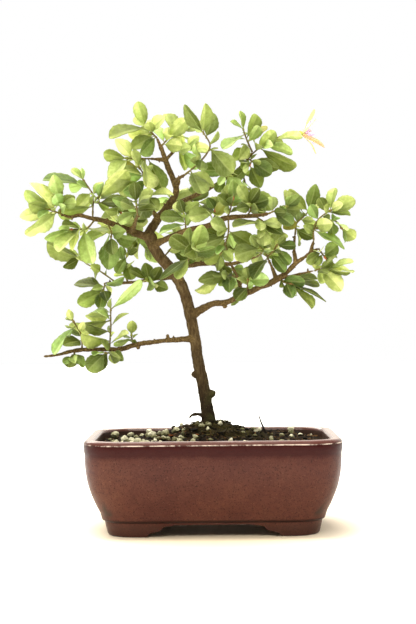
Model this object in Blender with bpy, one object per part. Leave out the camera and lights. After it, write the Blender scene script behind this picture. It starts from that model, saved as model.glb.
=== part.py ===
"""A flowering bonsai tree in a glazed rectangular pot, with its soil, grit, leafy shoots and one flower."""
import math
import random

import bmesh
import bpy
from mathutils import Matrix, Vector
from mathutils.bvhtree import BVHTree
from mathutils.geometry import intersect_point_line

MM = 0.001
GAP = 0.3 * MM
OBJECT_NAME = "flowering_bonsai"

# The middle of the pot's foot, set so that the origin is under the middle of the whole object.
POT_CENTRE = Vector((14.5 * MM, -6.2 * MM, 0))

# Pot
POT_WIDTH = 160 * MM
POT_DEPTH = 119 * MM
POT_HEIGHT = 59.7 * MM
WALL = 7 * MM
FLOOR_BOTTOM = 8.6 * MM
FLOOR_TOP = 14 * MM
RIM_CORNER = 22 * MM
CORNER_STEPS = 4
# Height in mm, and how far the wall is drawn in from the rim, up the outside from the foot
POT_PROFILE = [(0, 14.6), (1.2, 13.8), (8.8, 12.2), (10.2, 10.6), (14.5, 9.6), (22.5, 5.8), (30, 3),
               (39, 1), (50, 0.4), (57.4, 0), (58.9, 0.6), (59.7, 2)]
# The same up the inside, from the floor
CAVITY_PROFILE = [(14, 16.6), (17, 14.9), (25, 11.4), (38, 8), (58.4, WALL / MM), (59.7, 5.7)]
FOOT_WALL = 8 * MM
FOOT_LENGTH_WIDE = 27 * MM
FOOT_LENGTH_DEEP = 20 * MM
ARCH_SLOPE = 17 * MM
ARCH_TOP = FLOOR_BOTTOM - 0.8 * MM
DRAIN_RADIUS = 6 * MM
DRAIN_OFFSET = 29 * MM

# Screens over the drain holes
SCREEN_SIDE = 14 * MM
SCREEN_THICKNESS = 1 * MM
SCREEN_HOLE = 3.2 * MM
SCREEN_HOLES = 3

# Soil
SOIL_EDGE = 53.5 * MM
SOIL_CROWN = 3.5 * MM
MOUND_HEIGHT = 10.5 * MM
MOUND_REACH = 28 * MM
SOIL_RINGS = (0.93, 0.79, 0.63, 0.48, 0.34, 0.2)
SOIL_RELIEF = 1.1 * MM
TRUNK_FOOT = Vector((-2.5 * MM, 0, 52 * MM))
TRUNK_HOLE = 5.8 * MM
TWIG_HOLE = 1.3 * MM
# Grit that shows at the front: across, away, how far its middle is lifted off the soil, and radius in mm
GRIT = [(-65, 34, 2.0, 2.7), (-57, -3, 0.7, 2.3), (-52, -13, 0.7, 2.2), (-54, 34, 1.4, 2.2), (-46, 15, 0.7, 2.1),
        (-42, 29, 1.6, 2.1), (-39, 7, 0.8, 2.4), (-36, -17, 0.5, 1.8), (-37, -28, 0.5, 1.7), (-30, -10, 0.9, 2.7),
        (-28, -24, 0.5, 1.8), (-34, 0, 0.6, 1.9), (-23, -8, 0.6, 2.0), (-18, -10, 0.5, 1.6), (-20, 3, 0.5, 1.6),
        (-11, -26, 0.6, 2.0), (-7, -10, 0.4, 1.6), (-2, -12, 0.5, 1.7), (5, -7, 0.4, 1.5), (11, -32, 0.5, 1.8),
        (20, -31, 0.4, 1.6), (29, 13, 1.3, 2.6), (45, 9, 0.4, 1.6), (52, 28, 1.9, 2.4), (52, 18, 0.5, 1.7),
        (37, -21, 0.5, 1.7), (58, 30, 0.5, 1.7)]
SCATTERED_GRIT = 8
GRIT_RADIUS = (1.5, 2.2)

# Wood: across, away, up and radius in mm, from where each piece grows to its end
BRANCHES = {
    "trunk": [(-2.5, 0, 52, 5.1), (-2.5, 0, 66, 5.1), (-2.8, 0, 71, 4.5), (-3.7, 0, 77, 4.2), (-5.8, 0, 91, 3.9),
              (-9.1, 0, 107, 3.8), (-11, 0, 122, 3.7), (-13.7, 0, 136, 3.7), (-16.5, -1, 148, 3.7),
              (-20, -2, 157, 3.8), (-26, -2, 166, 3.8), (-33, -1, 174, 3.7), (-38, 0, 182, 3.5),
              (-40, 1, 188, 3.3), (-37, 2, 194, 2.9), (-32, 3, 201, 2.6), (-27, 3, 207, 2.5),
              (-23, 2, 213, 2.3), (-22, 1, 218, 2.2), (-24, 0, 224, 2.0), (-27, -1, 231, 1.9),
              (-29, -2, 237, 1.7), (-32, -2, 245, 1.3), (-34, -2, 250, 0.9)],
    "low_left": [(-12, 0, 121, 1.9), (-29, -3, 120, 1.5), (-38, -6, 119, 1.6), (-47, -9, 118, 1.6),
                 (-58, -13, 115, 1.7), (-65, -15, 115, 1.4), (-81, -19, 115, 1.4), (-89, -21, 114, 1.2),
                 (-97, -22, 112, 0.9), (-106, -23, 111, 0.7)],
    "low_right": [(-13, 0, 136, 2.5), (0, -4, 143, 2.1), (9, -8, 144, 1.9), (18, -12, 148, 2.0),
                  (30, -17, 153, 1.9), (39, -21, 157, 2.1), (47, -24, 162, 1.5), (53, -26, 168, 1.4),
                  (62, -28, 174, 1.1), (67, -29, 177, 0.8)],
    "mid_left": [(-22, 1, 161, 1.7), (-35, 12, 160, 1.3), (-54, 25, 158, 1.1), (-71, 35, 158, 0.7)],
    "mid_right": [(-24, 1, 165, 2.2), (-18, 7, 168, 1.8), (-2, 22, 170, 1.7), (14, 36, 170, 1.2),
                  (31, 49, 175, 0.8)],
    "left": [(-39, 0, 186, 2.8), (-45, -2, 188, 2.2), (-58, -6, 193, 2.0), (-69, -10, 197, 1.7),
             (-75, -12, 198, 1.6), (-83, -14, 200, 1.3), (-89, -15, 199, 1.0), (-95, -16, 201, 0.8)],
    "right": [(-38, 0, 180, 2.7), (-33, -4, 183, 2.0), (-15, -13, 190, 1.8), (0, -19, 193, 1.6),
              (10, -22, 197, 1.7), (29, -27, 198, 1.3), (36, -29, 199, 1.0)],
    "upper_right": [(-26, 3, 207, 2.0), (-18, 7, 210, 1.6), (3, 18, 221, 1.3), (20, 23, 233, 1.1),
                    (28, 24, 243, 0.8)],
    "front_right": [(-21, -1, 160, 1.6), (-17, -16, 165, 1.2), (-14, -42, 171, 0.8)],
    "front_left": [(-50, -4, 190, 1.5), (-48, -19, 194, 1.2), (-45, -44, 198, 0.8)],
    "back": [(-33, 3, 200, 1.8), (-31, 18, 204, 1.4), (-27, 50, 210, 0.9)],
    "back_left": [(-37, 1, 180, 1.8), (-41, 16, 185, 1.4), (-53, 48, 192, 0.9)],
    "top_front": [(-23, 0, 221, 1.4), (-20, -13, 223, 1.1), (-16, -26, 224, 0.8)],
    "apex_left": [(-29, -2, 236, 1.2), (-34, -6, 236, 0.9), (-38, -9, 236, 0.7)],
    "apex_right": [(-29, -2, 235, 1.2), (-26, 1, 239, 0.9), (-23, 4, 242, 0.7)],
    "upper_left": [(-34, 2, 198, 1.4), (-38, -5, 205, 1.0), (-40, -9, 211, 0.9)],
    "low_right_riser": [(41, -21, 158, 1.2), (38, -23, 166, 0.9), (36, -24, 170, 0.7)],
    "low_right_inner": [(19, -12, 149, 1.3), (17, -9, 159, 1.0), (10, -1, 175, 0.7)],
    "low_right_tall": [(53, -26, 168, 1.1), (52, -24, 178, 0.9), (53, -21, 186, 0.7)],
    "low_right_outer": [(62, -28, 174, 1.0), (64, -30, 182, 0.8)],
    "low_right_under": [(41, -21, 158, 1.3), (49, -26, 160, 0.9), (64, -35, 163, 0.6)],
    "stub_low": [(-28, -3, 120.5, 1.0), (-28.5, -3, 124, 0.8)],
    "stub_under": [(-47, -9, 117, 1.0), (-47, -9, 114.5, 0.8)],
    "stub_right": [(8, -8, 143, 1.2), (9, -9, 140.5, 1.0)],
    "stub_top": [(-23, 1, 216, 1.0), (-20, -1, 222, 0.7), (-20, -1, 225, 0.6)],
    "surface_root": [(-5, -2, 71, 1.3), (-9, -3, 72.5, 1.0), (-13, -3, 72, 0.8), (-15, -3, 70, 0.6)],
}
# Healed cuts and swellings on the trunk: across, away, up and radius in mm
KNOBS = [(-11.2, -0.5, 98, 2.2), (-0.2, -0.5, 85.5, 2.5), (-14, -2.5, 140, 2.6), (-38, 0, 186, 3.6)]

# Radius in mm up to which a twig is drawn with four sides
FINE_TWIG = 1.3

# Leafy shoots: name, stems, usual leaf length in mm.
# A stem is its points in mm from the branch outwards, and then either a number of leaves
# or the leaves that show in the picture: how far along the stem each grows, its tip and its width in mm.
SHOOTS = [
    ("shoot_low_left_end", [
        ([(-86, -20, 114.5), (-87, -21, 112), (-88, -22, 111)],
         [(1, -91, -25, 104, 10), (0.5, -81, -17, 108, 4)])], 12),
    ("shoot_low_left_upright", [
        ([(-82, -19, 115), (-82, -20, 123), (-84, -21, 128), (-87, -22, 133)],
         [(0.85, -101, -24, 114, 8), (1, -92, -20, 136, 4), (0.3, -91, -30, 120, 7),
          (0.25, -76, -8, 123, 6)])], 12),
    ("shoot_low_right_spur", [
        ([(17, -9, 159), (13, -11, 161), (8, -14, 161)],
         [(0.9, -8, -20, 158, 10), (0.6, 11, -18, 151, 10), (1, -10, -8, 150, 5),
          (0.8, 4, -16, 170, 7), (0.5, 2, -20, 153, 8)])], 14),
    ("shoot_low_left_sprig", [
        ([(-65, -15, 115), (-64, -15, 127), (-64, -14, 135), (-64, -13, 140)],
         [(0.42, -89, -21, 119, 7), (0.72, -91, -8, 124, 8), (0.95, -79, -9, 139, 5),
          (1, -43, -16, 157, 6), (0.2, -80, -25, 122, 7), (0.14, -53, -22, 126, 4),
          (0.85, -82, -2, 132, 7)])], 15),
    ("shoot_low_left_inner", [
        ([(-50, -10, 117), (-51, -12, 122), (-51, -13, 124)],
         [(1, -50, -15, 132, 7), (0.6, -60, -24, 118, 4)])], 10),
    ("shoot_low_left_front", [
        ([(-63, -14, 115), (-64, -19, 113), (-67, -23, 113)],
         [(1, -78, -28, 102, 13), (0.75, -73, -20, 102, 9), (0.3, -61, -18, 106, 7)])], 14),
    ("shoot_mid_left_upper", [
        ([(-63, 31, 158), (-74, 33, 166), (-83, 35, 171), (-87, 36, 175)],
         [(0.98, -112, 40, 183, 10), (1, -97, 34, 168, 7), (0.85, -80, 30, 180, 7),
          (0.5, -80, 42, 163, 7)])], 16),
    ("shoot_mid_left_riser", [
        ([(-55, 26, 158), (-58, 24, 168), (-55, 22, 176)],
         [(0.95, -62, 17, 164, 8), (0.8, -52, 18, 160, 10), (1, -62, 26, 180, 7),
          (1, -48, 18, 179, 5)])], 15),
    ("shoot_mid_left_end", [
        ([(-71, 35, 158), (-71, 34, 156), (-72, 33, 153)],
         [(0.5, -92, 38, 159, 10), (1, -88, 30, 144, 9), (0.9, -69, 24, 146, 9),
          (0.4, -58, 24, 160, 5)])], 16),
    ("shoot_mid_left_inner", [
        ([(-42, 17, 159.5), (-41, 12, 159), (-38, 8, 157)],
         [(0.3, -52, 14, 167, 6), (1, -28, 4, 153, 9), (0.5, -38, 0, 155, 6), (0.9, -33, 14, 168, 10),
          (0.6, -43, 18, 171, 9)])], 12),
    ("shoot_left_end", [
        ([(-95, -16, 201), (-100, -18, 203), (-104, -19, 204)],
         [(0.3, -114, -14, 223, 9), (0.6, -116, -22, 213, 11), (1, -120, -22, 198, 9),
          (0.8, -117, -10, 198, 5), (0.5, -116, -16, 187, 7), (0.25, -108, -26, 191, 7),
          (0.9, -113, -28, 206, 7)]),
        ([(-95.5, -16, 201), (-94, -20, 207), (-95, -22, 211)],
         [(1, -99, -22, 223, 7), (0.4, -96, -30, 211, 9), (0.6, -86, -28, 211, 9)])], 16),
    ("shoot_left_lower_end", [
        ([(-74, -12, 197), (-78, -15, 192), (-82, -17, 191), (-88, -19, 191)],
         [(1, -104, -23, 184, 7), (0.8, -93, -9, 187, 6), (0.75, -88, -22, 178, 7),
          (0.55, -77, -22, 170, 12), (0.4, -65, -25, 190, 7), (0.6, -93, -26, 194, 6),
          (0.7, -96, -28, 180, 7)])], 15),
    ("shoot_left_riser", [
        ([(-75, -12, 198), (-75, -10, 204), (-75, -8, 213), (-77, -8, 217), (-81, -7, 223)],
         [(0.86, -107, -4, 226, 8), (1, -88, -8, 231, 5), (0.65, -86, -17, 205, 9),
          (0.4, -84, -2, 207, 7), (0.3, -97, -16, 202, 7), (0.9, -92, -1, 218, 8)]),
        ([(-76, -9, 209), (-71, -13, 208), (-71, -15, 211)],
         [(1, -52, -20, 225, 11), (0.5, -52, -18, 209, 9), (0.8, -69, -8, 221, 6),
          (0.9, -62, -8, 216, 9)])], 16),
    ("shoot_left_inner_riser", [
        ([(-60, -7, 194), (-57, -10, 200), (-57, -11, 202)],
         [(1, -66, -16, 203, 6), (1, -49, -10, 205, 6), (0.8, -41, -6, 200, 11),
          (0.3, -42, 6, 193, 9), (0.5, -49, -15, 197, 7), (0.5, -68, -6, 196, 7)])], 15),
    ("shoot_left_hanging", [
        ([(-66, -9, 196), (-63, -16, 189), (-63, -19, 186)],
         [(1, -65, -24, 165, 15), (0.6, -80, -18, 185, 7), (0.8, -48, -12, 182, 7)])], 17),
    ("shoot_front_left", [
        ([(-45, -44, 198), (-45, -52, 201), (-45, -59, 204)],
         [(1, -46, -68, 216, 8), (0.7, -60, -60, 207, 8), (0.5, -36, -56, 213, 7), (0.3, -57, -50, 194, 7),
          (0.9, -38, -72, 204, 7)])], 15),
    ("shoot_upper_left", [
        ([(-40, -9, 211), (-40, -11, 221), (-43, -13, 227), (-45, -14, 230)],
         [(0.15, -62, -14, 222, 9), (0.08, -24, -12, 214, 8), (0.1, -41, -4, 195, 12),
          (0.5, -53, -20, 213, 7), (0.06, -33, -16, 204, 7), (1, -58, -22, 232, 7),
          (0.7, -56, -4, 226, 8)])], 16),
    ("shoot_apex_left", [
        ([(-38, -9, 236), (-46, -12, 236), (-53, -14, 236)],
         [(1, -67, -14, 238, 7), (0.92, -66, -18, 223, 10), (0.3, -50, -22, 217, 10),
          (0.6, -52, -6, 243, 8), (0.1, -31, -16, 216, 13), (0.2, -45, 0, 229, 9)])], 17),
    ("shoot_apex_top_left", [
        ([(-34, -2, 250), (-38, -4, 254), (-41, -5, 257)],
         [(1, -46, -8, 271, 8), (0.95, -64, -6, 253, 10), (0.2, -50, -14, 244, 10),
          (0.6, -30, -10, 262, 8), (0.5, -53, 6, 251, 6), (0.1, -43, -16, 239, 10)])], 15),
    ("shoot_apex_top_right", [
        ([(-31, -2, 245), (-26, -3, 250), (-19, -4, 254)],
         [(0.35, -15, -10, 260, 11), (1, -1, -6, 258, 8), (0.8, -28, 4, 267, 8),
          (0.2, -38, 6, 260, 8), (0.7, -15, 6, 264, 9), (0.1, -18, -15, 244, 10)])], 16),
    ("shoot_apex_right", [
        ([(-23, 4, 242), (-18, 4, 243), (-15, 5, 245)],
         [(0.8, 0, 0, 244, 8), (0.5, -7, 0, 231, 9), (0.3, -15, 8, 230, 7), (1, -7, 12, 253, 8)])], 17),
    ("shoot_top_front", [
        ([(-16, -26, 224), (-6, -30, 232), (0, -33, 241), (-4, -34, 249)],
         [(0.7, 13, -38, 224, 15), (0.9, 3, -30, 263, 11), (1, -2, -38, 266, 9),
          (1, -17, -32, 266, 5), (0.45, -6, -40, 226, 9), (0.06, 3, -30, 219, 9),
          (0.14, -5, -38, 213, 8)])], 16),
    ("shoot_upper_right_top", [
        ([(28, 24, 243), (24, 22, 252), (22, 21, 258)],
         [(0.6, 33, 18, 268, 9), (0.5, 38, 26, 263, 8), (0.95, 21, 22, 270, 5), (0.8, 8, 16, 245, 8),
          (0.2, 14, 26, 238, 8), (0.3, 20, 12, 238, 8)])], 15),
    ("shoot_upper_right_outer", [
        ([(26, 24, 240), (34, 23, 247), (44, 22, 252)],
         [(0.9, 58, 12, 254, 8), (0.6, 55, 20, 243, 10), (0.4, 55, 14, 231, 9), (0.3, 43, 14, 255, 9),
          (0.9, 41, 28, 259, 5)])], 16),
    ("shoot_upper_right_under", [
        ([(25, 24, 239), (27, 20, 237), (26, 18, 234)],
         [(0.6, 40, 10, 228, 12), (1, 34, 14, 219, 12), (0.4, 45, 24, 231, 7), (0.9, 16, 12, 225, 8)])], 17),
    ("shoot_upper_right_inner", [
        ([(14, 21.5, 229), (12, 17, 230), (10, 15, 227)],
         [(1, 21, 8, 213, 12), (0.6, -5, 12, 231, 11), (0.9, 6, 22, 238, 9), (1, 4, 18, 216, 7)])], 18),
    ("shoot_upper_right_low", [
        ([(20, 23, 233), (23, 19, 222), (23, 16, 216)],
         [(1, 42, 12, 207, 12), (1, 33, 8, 202, 8), (0.9, 13, 14, 208, 9)])], 17),
    ("shoot_right_end", [
        ([(36, -29, 199), (41, -31, 201), (47, -33, 203)],
         [(0.9, 53, -38, 209, 8), (0.2, 39, -28, 211, 8), (0.7, 56, -26, 201, 10),
          (0.3, 50, -34, 192, 10), (1, 49, -30, 214, 8)])], 16),
    ("shoot_right_upper", [
        ([(23, -26, 198), (25, -29, 202), (24, -30, 205)],
         [(1, 29, -34, 213, 9), (0.8, 16, -36, 202, 9), (0.9, 36, -26, 208, 10),
          (0.4, 33, -20, 200, 7)])], 17),
    ("shoot_right_riser", [
        ([(10, -22, 197), (12, -24, 201), (13, -26, 205), (14, -27, 209)],
         [(1, 11, -30, 218, 8), (0.6, 5, -32, 210, 8), (0.8, 22, -24, 211, 8),
          (0.95, 17, -18, 215, 7)])], 16),
    ("shoot_right_middle", [
        ([(-2, -18, 192), (3, -20, 199), (3, -21, 202)],
         [(0.9, -14, -26, 198, 11), (1, -2, -24, 210, 7), (0.6, 11, -28, 203, 8),
          (0.9, -9, -14, 205, 7)])], 15),
    ("shoot_right_spur", [
        ([(-16, -12, 190), (-16, -13, 195), (-17, -14, 200)],
         [(0.8, -32, -12, 199, 9), (0.4, -34, -8, 189, 8), (1, -8, -18, 207, 8),
          (1, -23, -10, 209, 8)])], 14),
    ("shoot_right_hanging", [
        ([(11, -22, 197), (11, -22, 188), (9, -21, 181), (6, -20, 175)],
         [(0.5, -11, -28, 179, 12), (1, -4, -12, 180, 9), (0.3, 1, -28, 194, 10),
          (0.35, 28, -28, 179, 12), (0.9, 14, -14, 170, 8)])], 16),
    ("shoot_right_lower", [
        ([(27, -27, 198), (33, -27, 194), (33, -28, 191)],
         [(0.7, 14, -34, 192, 9), (1, 33, -34, 179, 10), (0.8, 44, -30, 187, 9)])], 18),
    ("shoot_trunk", [
        ([(-31, 1, 173), (-25, 4, 180), (-19, 6, 187)],
         [(0.4, -10, 0, 171, 8), (0.6, -8, 9, 178, 9), (1, -6, 4, 188, 8), (0.9, -28, 11, 193, 8)])], 16),
    ("shoot_low_right_riser", [
        ([(36, -24, 170), (34, -25, 175), (31, -26, 178)],
         [(1, 15, -30, 173, 13), (0.6, 25, -22, 186, 8), (0.2, 25, -32, 159, 8)]),
        ([(35, -24, 172), (39, -26, 176), (41, -28, 179)],
         [(0.8, 50, -32, 168, 7), (0.3, 46, -26, 163, 9), (1, 53, -26, 179, 7)])], 15),
    ("shoot_low_right_tall", [
        ([(53, -21, 186), (54, -19, 193), (58, -18, 197), (62, -17, 201)],
         [(0.98, 49, -22, 215, 9), (1, 67, -18, 218, 10), (0.5, 46, -24, 191, 8),
          (0.3, 58, -14, 181, 7), (0.6, 67, -12, 191, 7), (0.2, 64, -24, 184, 7)])], 15),
    ("shoot_low_right_outer_top", [
        ([(64, -30, 182), (64, -32, 190), (68, -34, 196), (74, -36, 200)],
         [(1, 76, -36, 215, 7), (0.9, 67, -40, 208, 7), (0.98, 89, -34, 207, 11),
          (0.94, 87, -40, 198, 7), (0.35, 76, -26, 193, 7), (0.3, 83, -34, 178, 7),
          (0.96, 70, -46, 202, 7), (0.2, 58, -36, 191, 7)]),
        ([(65, -31, 189), (76, -34, 194), (81, -36, 189)],
         [(1, 90, -38, 182, 10), (0.6, 76, -28, 185, 8)])], 15),
    ("shoot_low_right_tip", [
        ([(67, -29, 177), (69, -30, 174), (71, -31, 171)],
         [(0.8, 78, -34, 179, 10), (0.4, 59, -34, 168, 7)])], 15),
    ("shoot_low_right_outer", [
        ([(64, -35, 163), (68, -37, 164), (72, -38, 164)],
         [(1, 87, -42, 169, 6), (1, 89, -34, 164, 5), (0.5, 80, -42, 151, 10), (0.3, 70, -30, 155, 8),
          (0.9, 83, -46, 159, 4), (0.1, 55, -31, 165, 8)])], 15),
    ("shoot_low_right_under", [
        ([(43, -22, 158), (46, -25, 156), (50, -27, 155)],
         [(0.15, 58, -34, 146, 7), (1, 63, -30, 140, 8), (0.95, 72, -36, 146, 5),
          (0.4, 68, -22, 156, 5), (0.5, 56, -34, 160, 6)])], 17),
    ("shoot_low_right_inner", [
        ([(23, -14, 150), (23, -17, 155), (23, -18, 158)],
         [(0.5, 21, -8, 145, 11), (1, 36, -24, 158, 10), (1, 24, -22, 167, 7)])], 14),
    ("shoot_low_right_centre", [
        ([(10, -1, 175), (10, 1, 179), (8, 3, 184)],
         [(1, -4, 4, 191, 9), (0.5, 21, 4, 182, 8), (0.3, -4, -4, 170, 8)])], 16),
    ("shoot_mid_right_end", [([(31, 49, 175), (35, 54, 178), (41, 59, 183)], 6),
                             ([(35, 54, 178), (28, 59, 180), (20, 62, 181)], 4)], 17),
    ("shoot_mid_right_under", [([(13, 35, 170), (15, 37, 165), (17, 38, 160)], 5)], 16),
    ("shoot_mid_right_upper", [([(-2, 22, 170), (-3, 26, 175), (-4, 31, 181)], 5)], 17),
    ("shoot_front_right", [
        ([(-14, -42, 171), (-12, -50, 174), (-10, -57, 177)],
         [(1, -5, -68, 188, 8), (0.7, -24, -60, 183, 8), (0.5, 2, -60, 176, 7), (0.4, -15, -54, 189, 7),
          (0.95, -13, -74, 173, 7), (0.1, -22, -50, 159, 8), (0.02, -31, -44, 158, 6)])], 15),
    ("shoot_back", [([(-27, 50, 210), (-25, 60, 214), (-22, 69, 218)], 6),
                    ([(-26, 55, 212), (-18, 58, 214), (-9, 60, 213)], 5)], 17),
    ("shoot_back_left", [([(-53, 48, 192), (-58, 58, 194), (-64, 66, 198)], 6),
                         ([(-56, 53, 193), (-51, 60, 189), (-46, 67, 184)], 5)], 17),
]
STEM_RADIUS = 0.62 * MM
STEM_TIP = 0.72
LEAF_ZONE = 0.22

# Leaf: share of the length, share of the half width, and how far one edge runs ahead of the other
LEAF_SECTIONS = [(0.14, 0.14, 0), (0.45, 0.88, 0.035), (0.8, 0.88, -0.03)]
LEAF_HALF_WIDTH = 0.32
LEAF_GROWTH = 1.14
LEAF_THICKNESS = 1.1 * MM
LEAF_ROOT = 0.2 * MM
# Least and greatest lift of the edges, and greatest droop of the tip, as shares of half width and length
LEAF_FOLD = (0.05, 0.4)
LEAF_ARCH = 0.22
SHOWN_ARCH = 0.1
LEAF_SEED = 4201
# Leaves turn their upper sides up and towards the tree's front, where the light comes from
LEAF_LIGHT = Vector((0, -0.6, 0.5))
# The same for leaves with a known tip, how far a tip is moved at each try to find room, and how far at
# most it is moved nearer or farther away, which the picture doesn't show
SHOWN_FACING = Vector((0, -1, 0.15))
# Natural width of a leaf as a share of its length. A leaf that shows narrower is turned about its own
# length, by this much at the most.
NATURAL_WIDTH = 0.58
MOST_TURNED = math.radians(58)
TIP_SHIFT = 0.25 * MM
TIP_DEPTH = 7 * MM
LEAF_TRIES = 30
LEAF_MARGIN = 1.06

# Flower: middle of the calyx in mm, the way it faces, and its parts
FLOWER_CENTRE = (59.4, 20, 254.6)
FLOWER_AXIS = (0.977, 0.2, 0.071)
FLOWER_TURN = 13
FLOWER_SHOOT = "shoot_upper_right_outer"
# Share of the length, share of the half width, and how far one edge runs ahead of the other
SEPAL_SECTIONS = [(0.15, 0.75, 0), (0.55, 1, 0)]
SEPAL_HALF_WIDTH = 1.6 * MM
PETAL_HALF_WIDTH = 1.3 * MM
PETAL_THICKNESS = 0.7 * MM
SEPAL_LENGTH = 19 * MM
SEPAL_SPREADS = (64, 50, 66, 42, 46)
PETAL_LENGTH = 10 * MM
PETAL_SPREADS = (64, 58, 50, 40, 48)
CALYX_RADIUS = 1.7 * MM
HUB_RADIUS = 0.8 * MM
HUB_HEIGHT = 1.3 * MM
BLADE_HEIGHT = 0.4 * MM
STALK_RADIUS = 0.5 * MM
STAMENS = 12
STAMEN_LENGTH = 5 * MM

# Dry stick in the soil: lower end and upper end, then its radius at the foot, halfway and at the tip, all in mm
DRY_STICK = [(36, 4, 54), (30, 4, 71)]
DRY_STICK_RADII = (1.0, 0.8, 0.4)


def mm(values):
    """Turn three lengths in millimetres into a point in metres."""
    return Vector(values[:3]) * MM


def clear_scene():
    for item in list(bpy.data.objects):
        bpy.data.objects.remove(item, do_unlink=True)


def new_collection(name):
    group = bpy.data.collections.new(name)
    bpy.context.scene.collection.children.link(group)
    return group


def paint(item, colour, roughness, metallic=0.0):
    """Give an object its own plain material."""
    material = bpy.data.materials.new(item.name)
    material.use_nodes = True
    shader = material.node_tree.nodes["Principled BSDF"]
    shader.inputs["Base Color"].default_value = (*colour, 1)
    shader.inputs["Roughness"].default_value = roughness
    shader.inputs["Metallic"].default_value = metallic
    item.data.materials.clear()
    item.data.materials.append(material)


def object_from_bmesh(bm, name, group):
    bmesh.ops.recalc_face_normals(bm, faces=bm.faces)
    mesh = bpy.data.meshes.new(name)
    bm.to_mesh(mesh)
    bm.free()
    item = bpy.data.objects.new(name, mesh)
    group.objects.link(item)
    return item


def evaluated_mesh(item):
    graph = bpy.context.evaluated_depsgraph_get()
    graph.update()
    return bpy.data.meshes.new_from_object(item.evaluated_get(graph))


def keep_largest_body(mesh, weld):
    """Drop the scraps and sealed hollows that a union can leave, and say whether the body is closed."""
    bm = bmesh.new()
    bm.from_mesh(mesh)
    bmesh.ops.remove_doubles(bm, verts=bm.verts, dist=weld)
    unseen = set(bm.faces)
    bodies = []
    while unseen:
        first = unseen.pop()
        body = {first}
        reached = [first]
        while reached:
            for edge in reached.pop().edges:
                for other in edge.link_faces:
                    if other in unseen:
                        unseen.remove(other)
                        body.add(other)
                        reached.append(other)
        bodies.append(body)
    largest = max(bodies, key=len)
    bmesh.ops.delete(bm, geom=[face for face in bm.faces if face not in largest], context="FACES")
    closed = all(edge.is_manifold for edge in bm.edges) and all(v.is_manifold for v in bm.verts)
    bm.to_mesh(mesh)
    bm.free()
    return closed


def fuse(base, others, collection_name):
    """Join other objects to a base object with one Boolean union, and remove them."""
    group = new_collection(collection_name)
    for item in others:
        for owner in list(item.users_collection):
            owner.objects.unlink(item)
        group.objects.link(item)
    union = base.modifiers.new("union", "BOOLEAN")
    union.operation = "UNION"
    union.operand_type = "COLLECTION"
    union.collection = group
    for solver, weld in (("EXACT", 0.002 * MM), ("EXACT", 0), ("MANIFOLD", 0)):
        union.solver = solver
        mesh = evaluated_mesh(base)
        if keep_largest_body(mesh, weld):
            break
    base.modifiers.clear()
    old = base.data
    base.data = mesh
    bpy.data.meshes.remove(old)
    for item in others:
        bpy.data.objects.remove(item, do_unlink=True)
    bpy.data.collections.remove(group)
    return base


def cut(item, cutter):
    """Cut one object by another, which stays in the scene as a wire guide."""
    cutter.hide_render = True
    cutter.display_type = "WIRE"
    difference = item.modifiers.new("cut_" + cutter.name, "BOOLEAN")
    difference.operation = "DIFFERENCE"
    difference.solver = "EXACT"
    difference.object = cutter


def smooth_route(points, steps):
    """Read a smooth curve through points of any number of values, with a few steps from each to the next."""
    points = [tuple(p) for p in points]
    route = []
    last = len(points) - 1
    for i in range(last):
        before = points[max(i - 1, 0)]
        here = points[i]
        there = points[i + 1]
        beyond = points[min(i + 2, last)]
        for step in range(steps):
            t = step / steps
            route.append(tuple(
                0.5 * (2 * b + (c - a) * t + (2 * a - 5 * b + 4 * c - d) * t ** 2
                       + (3 * b - a - 3 * c + d) * t ** 3)
                for a, b, c, d in zip(before, here, there, beyond)))
    route.append(points[-1])
    return route


def tube(name, route, sides_step, group):
    """Make a closed tube mesh along (x, y, z, radius) values in metres."""
    curve = bpy.data.curves.new(name, "CURVE")
    curve.dimensions = "3D"
    curve.bevel_depth = 1 * MM
    curve.bevel_resolution = sides_step
    curve.use_fill_caps = True
    spline = curve.splines.new("POLY")
    spline.points.add(len(route) - 1)
    for point, (x, y, z, radius) in zip(spline.points, route):
        point.co = (x, y, z, 1)
        point.radius = radius / MM
    guide = bpy.data.objects.new(name + "_route", curve)
    group.objects.link(guide)
    mesh = evaluated_mesh(guide)
    bm = bmesh.new()
    bm.from_mesh(mesh)
    bmesh.ops.remove_doubles(bm, verts=bm.verts, dist=0.01 * MM)
    bpy.data.meshes.remove(mesh)
    item = object_from_bmesh(bm, name, group)
    item.matrix_world = guide.matrix_world
    bpy.data.objects.remove(guide, do_unlink=True)
    bpy.data.curves.remove(curve)
    return item


def rounded_block(half_x, half_y, bottom):
    """Start a block with the rim's rounded corners as a bmesh, and return it with its top face."""
    bm = bmesh.new()
    bmesh.ops.create_cube(bm, size=1)
    bmesh.ops.scale(bm, vec=(POT_WIDTH, POT_DEPTH, 1 * MM), verts=bm.verts)
    upright = [e for e in bm.edges if abs(e.verts[0].co.z - e.verts[1].co.z) > 0.5 * MM]
    bmesh.ops.bevel(bm, geom=upright, offset=RIM_CORNER, segments=CORNER_STEPS, profile=0.5, affect="EDGES")
    by_height = sorted(bm.faces, key=lambda face: face.calc_center_median().z)
    fit_ring(by_height[0], half_x, half_y, bottom)
    fit_ring(by_height[-1], half_x, half_y, bottom + 1 * MM)
    return bm, by_height[-1]


def next_ring(bm, face, half_x, half_y, height):
    """Extrude a level face and fit the new one to a size and a height."""
    result = bmesh.ops.extrude_face_region(bm, geom=[face])
    new_face = next(item for item in result["geom"] if isinstance(item, bmesh.types.BMFace))
    bmesh.ops.delete(bm, geom=[face], context="FACES_ONLY")
    fit_ring(new_face, half_x, half_y, height)
    return new_face


def fit_ring(face, half_x, half_y, height):
    wide = max(v.co.x for v in face.verts)
    deep = max(v.co.y for v in face.verts)
    for v in face.verts:
        v.co.x *= half_x / wide
        v.co.y *= half_y / deep
        v.co.z = height


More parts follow.
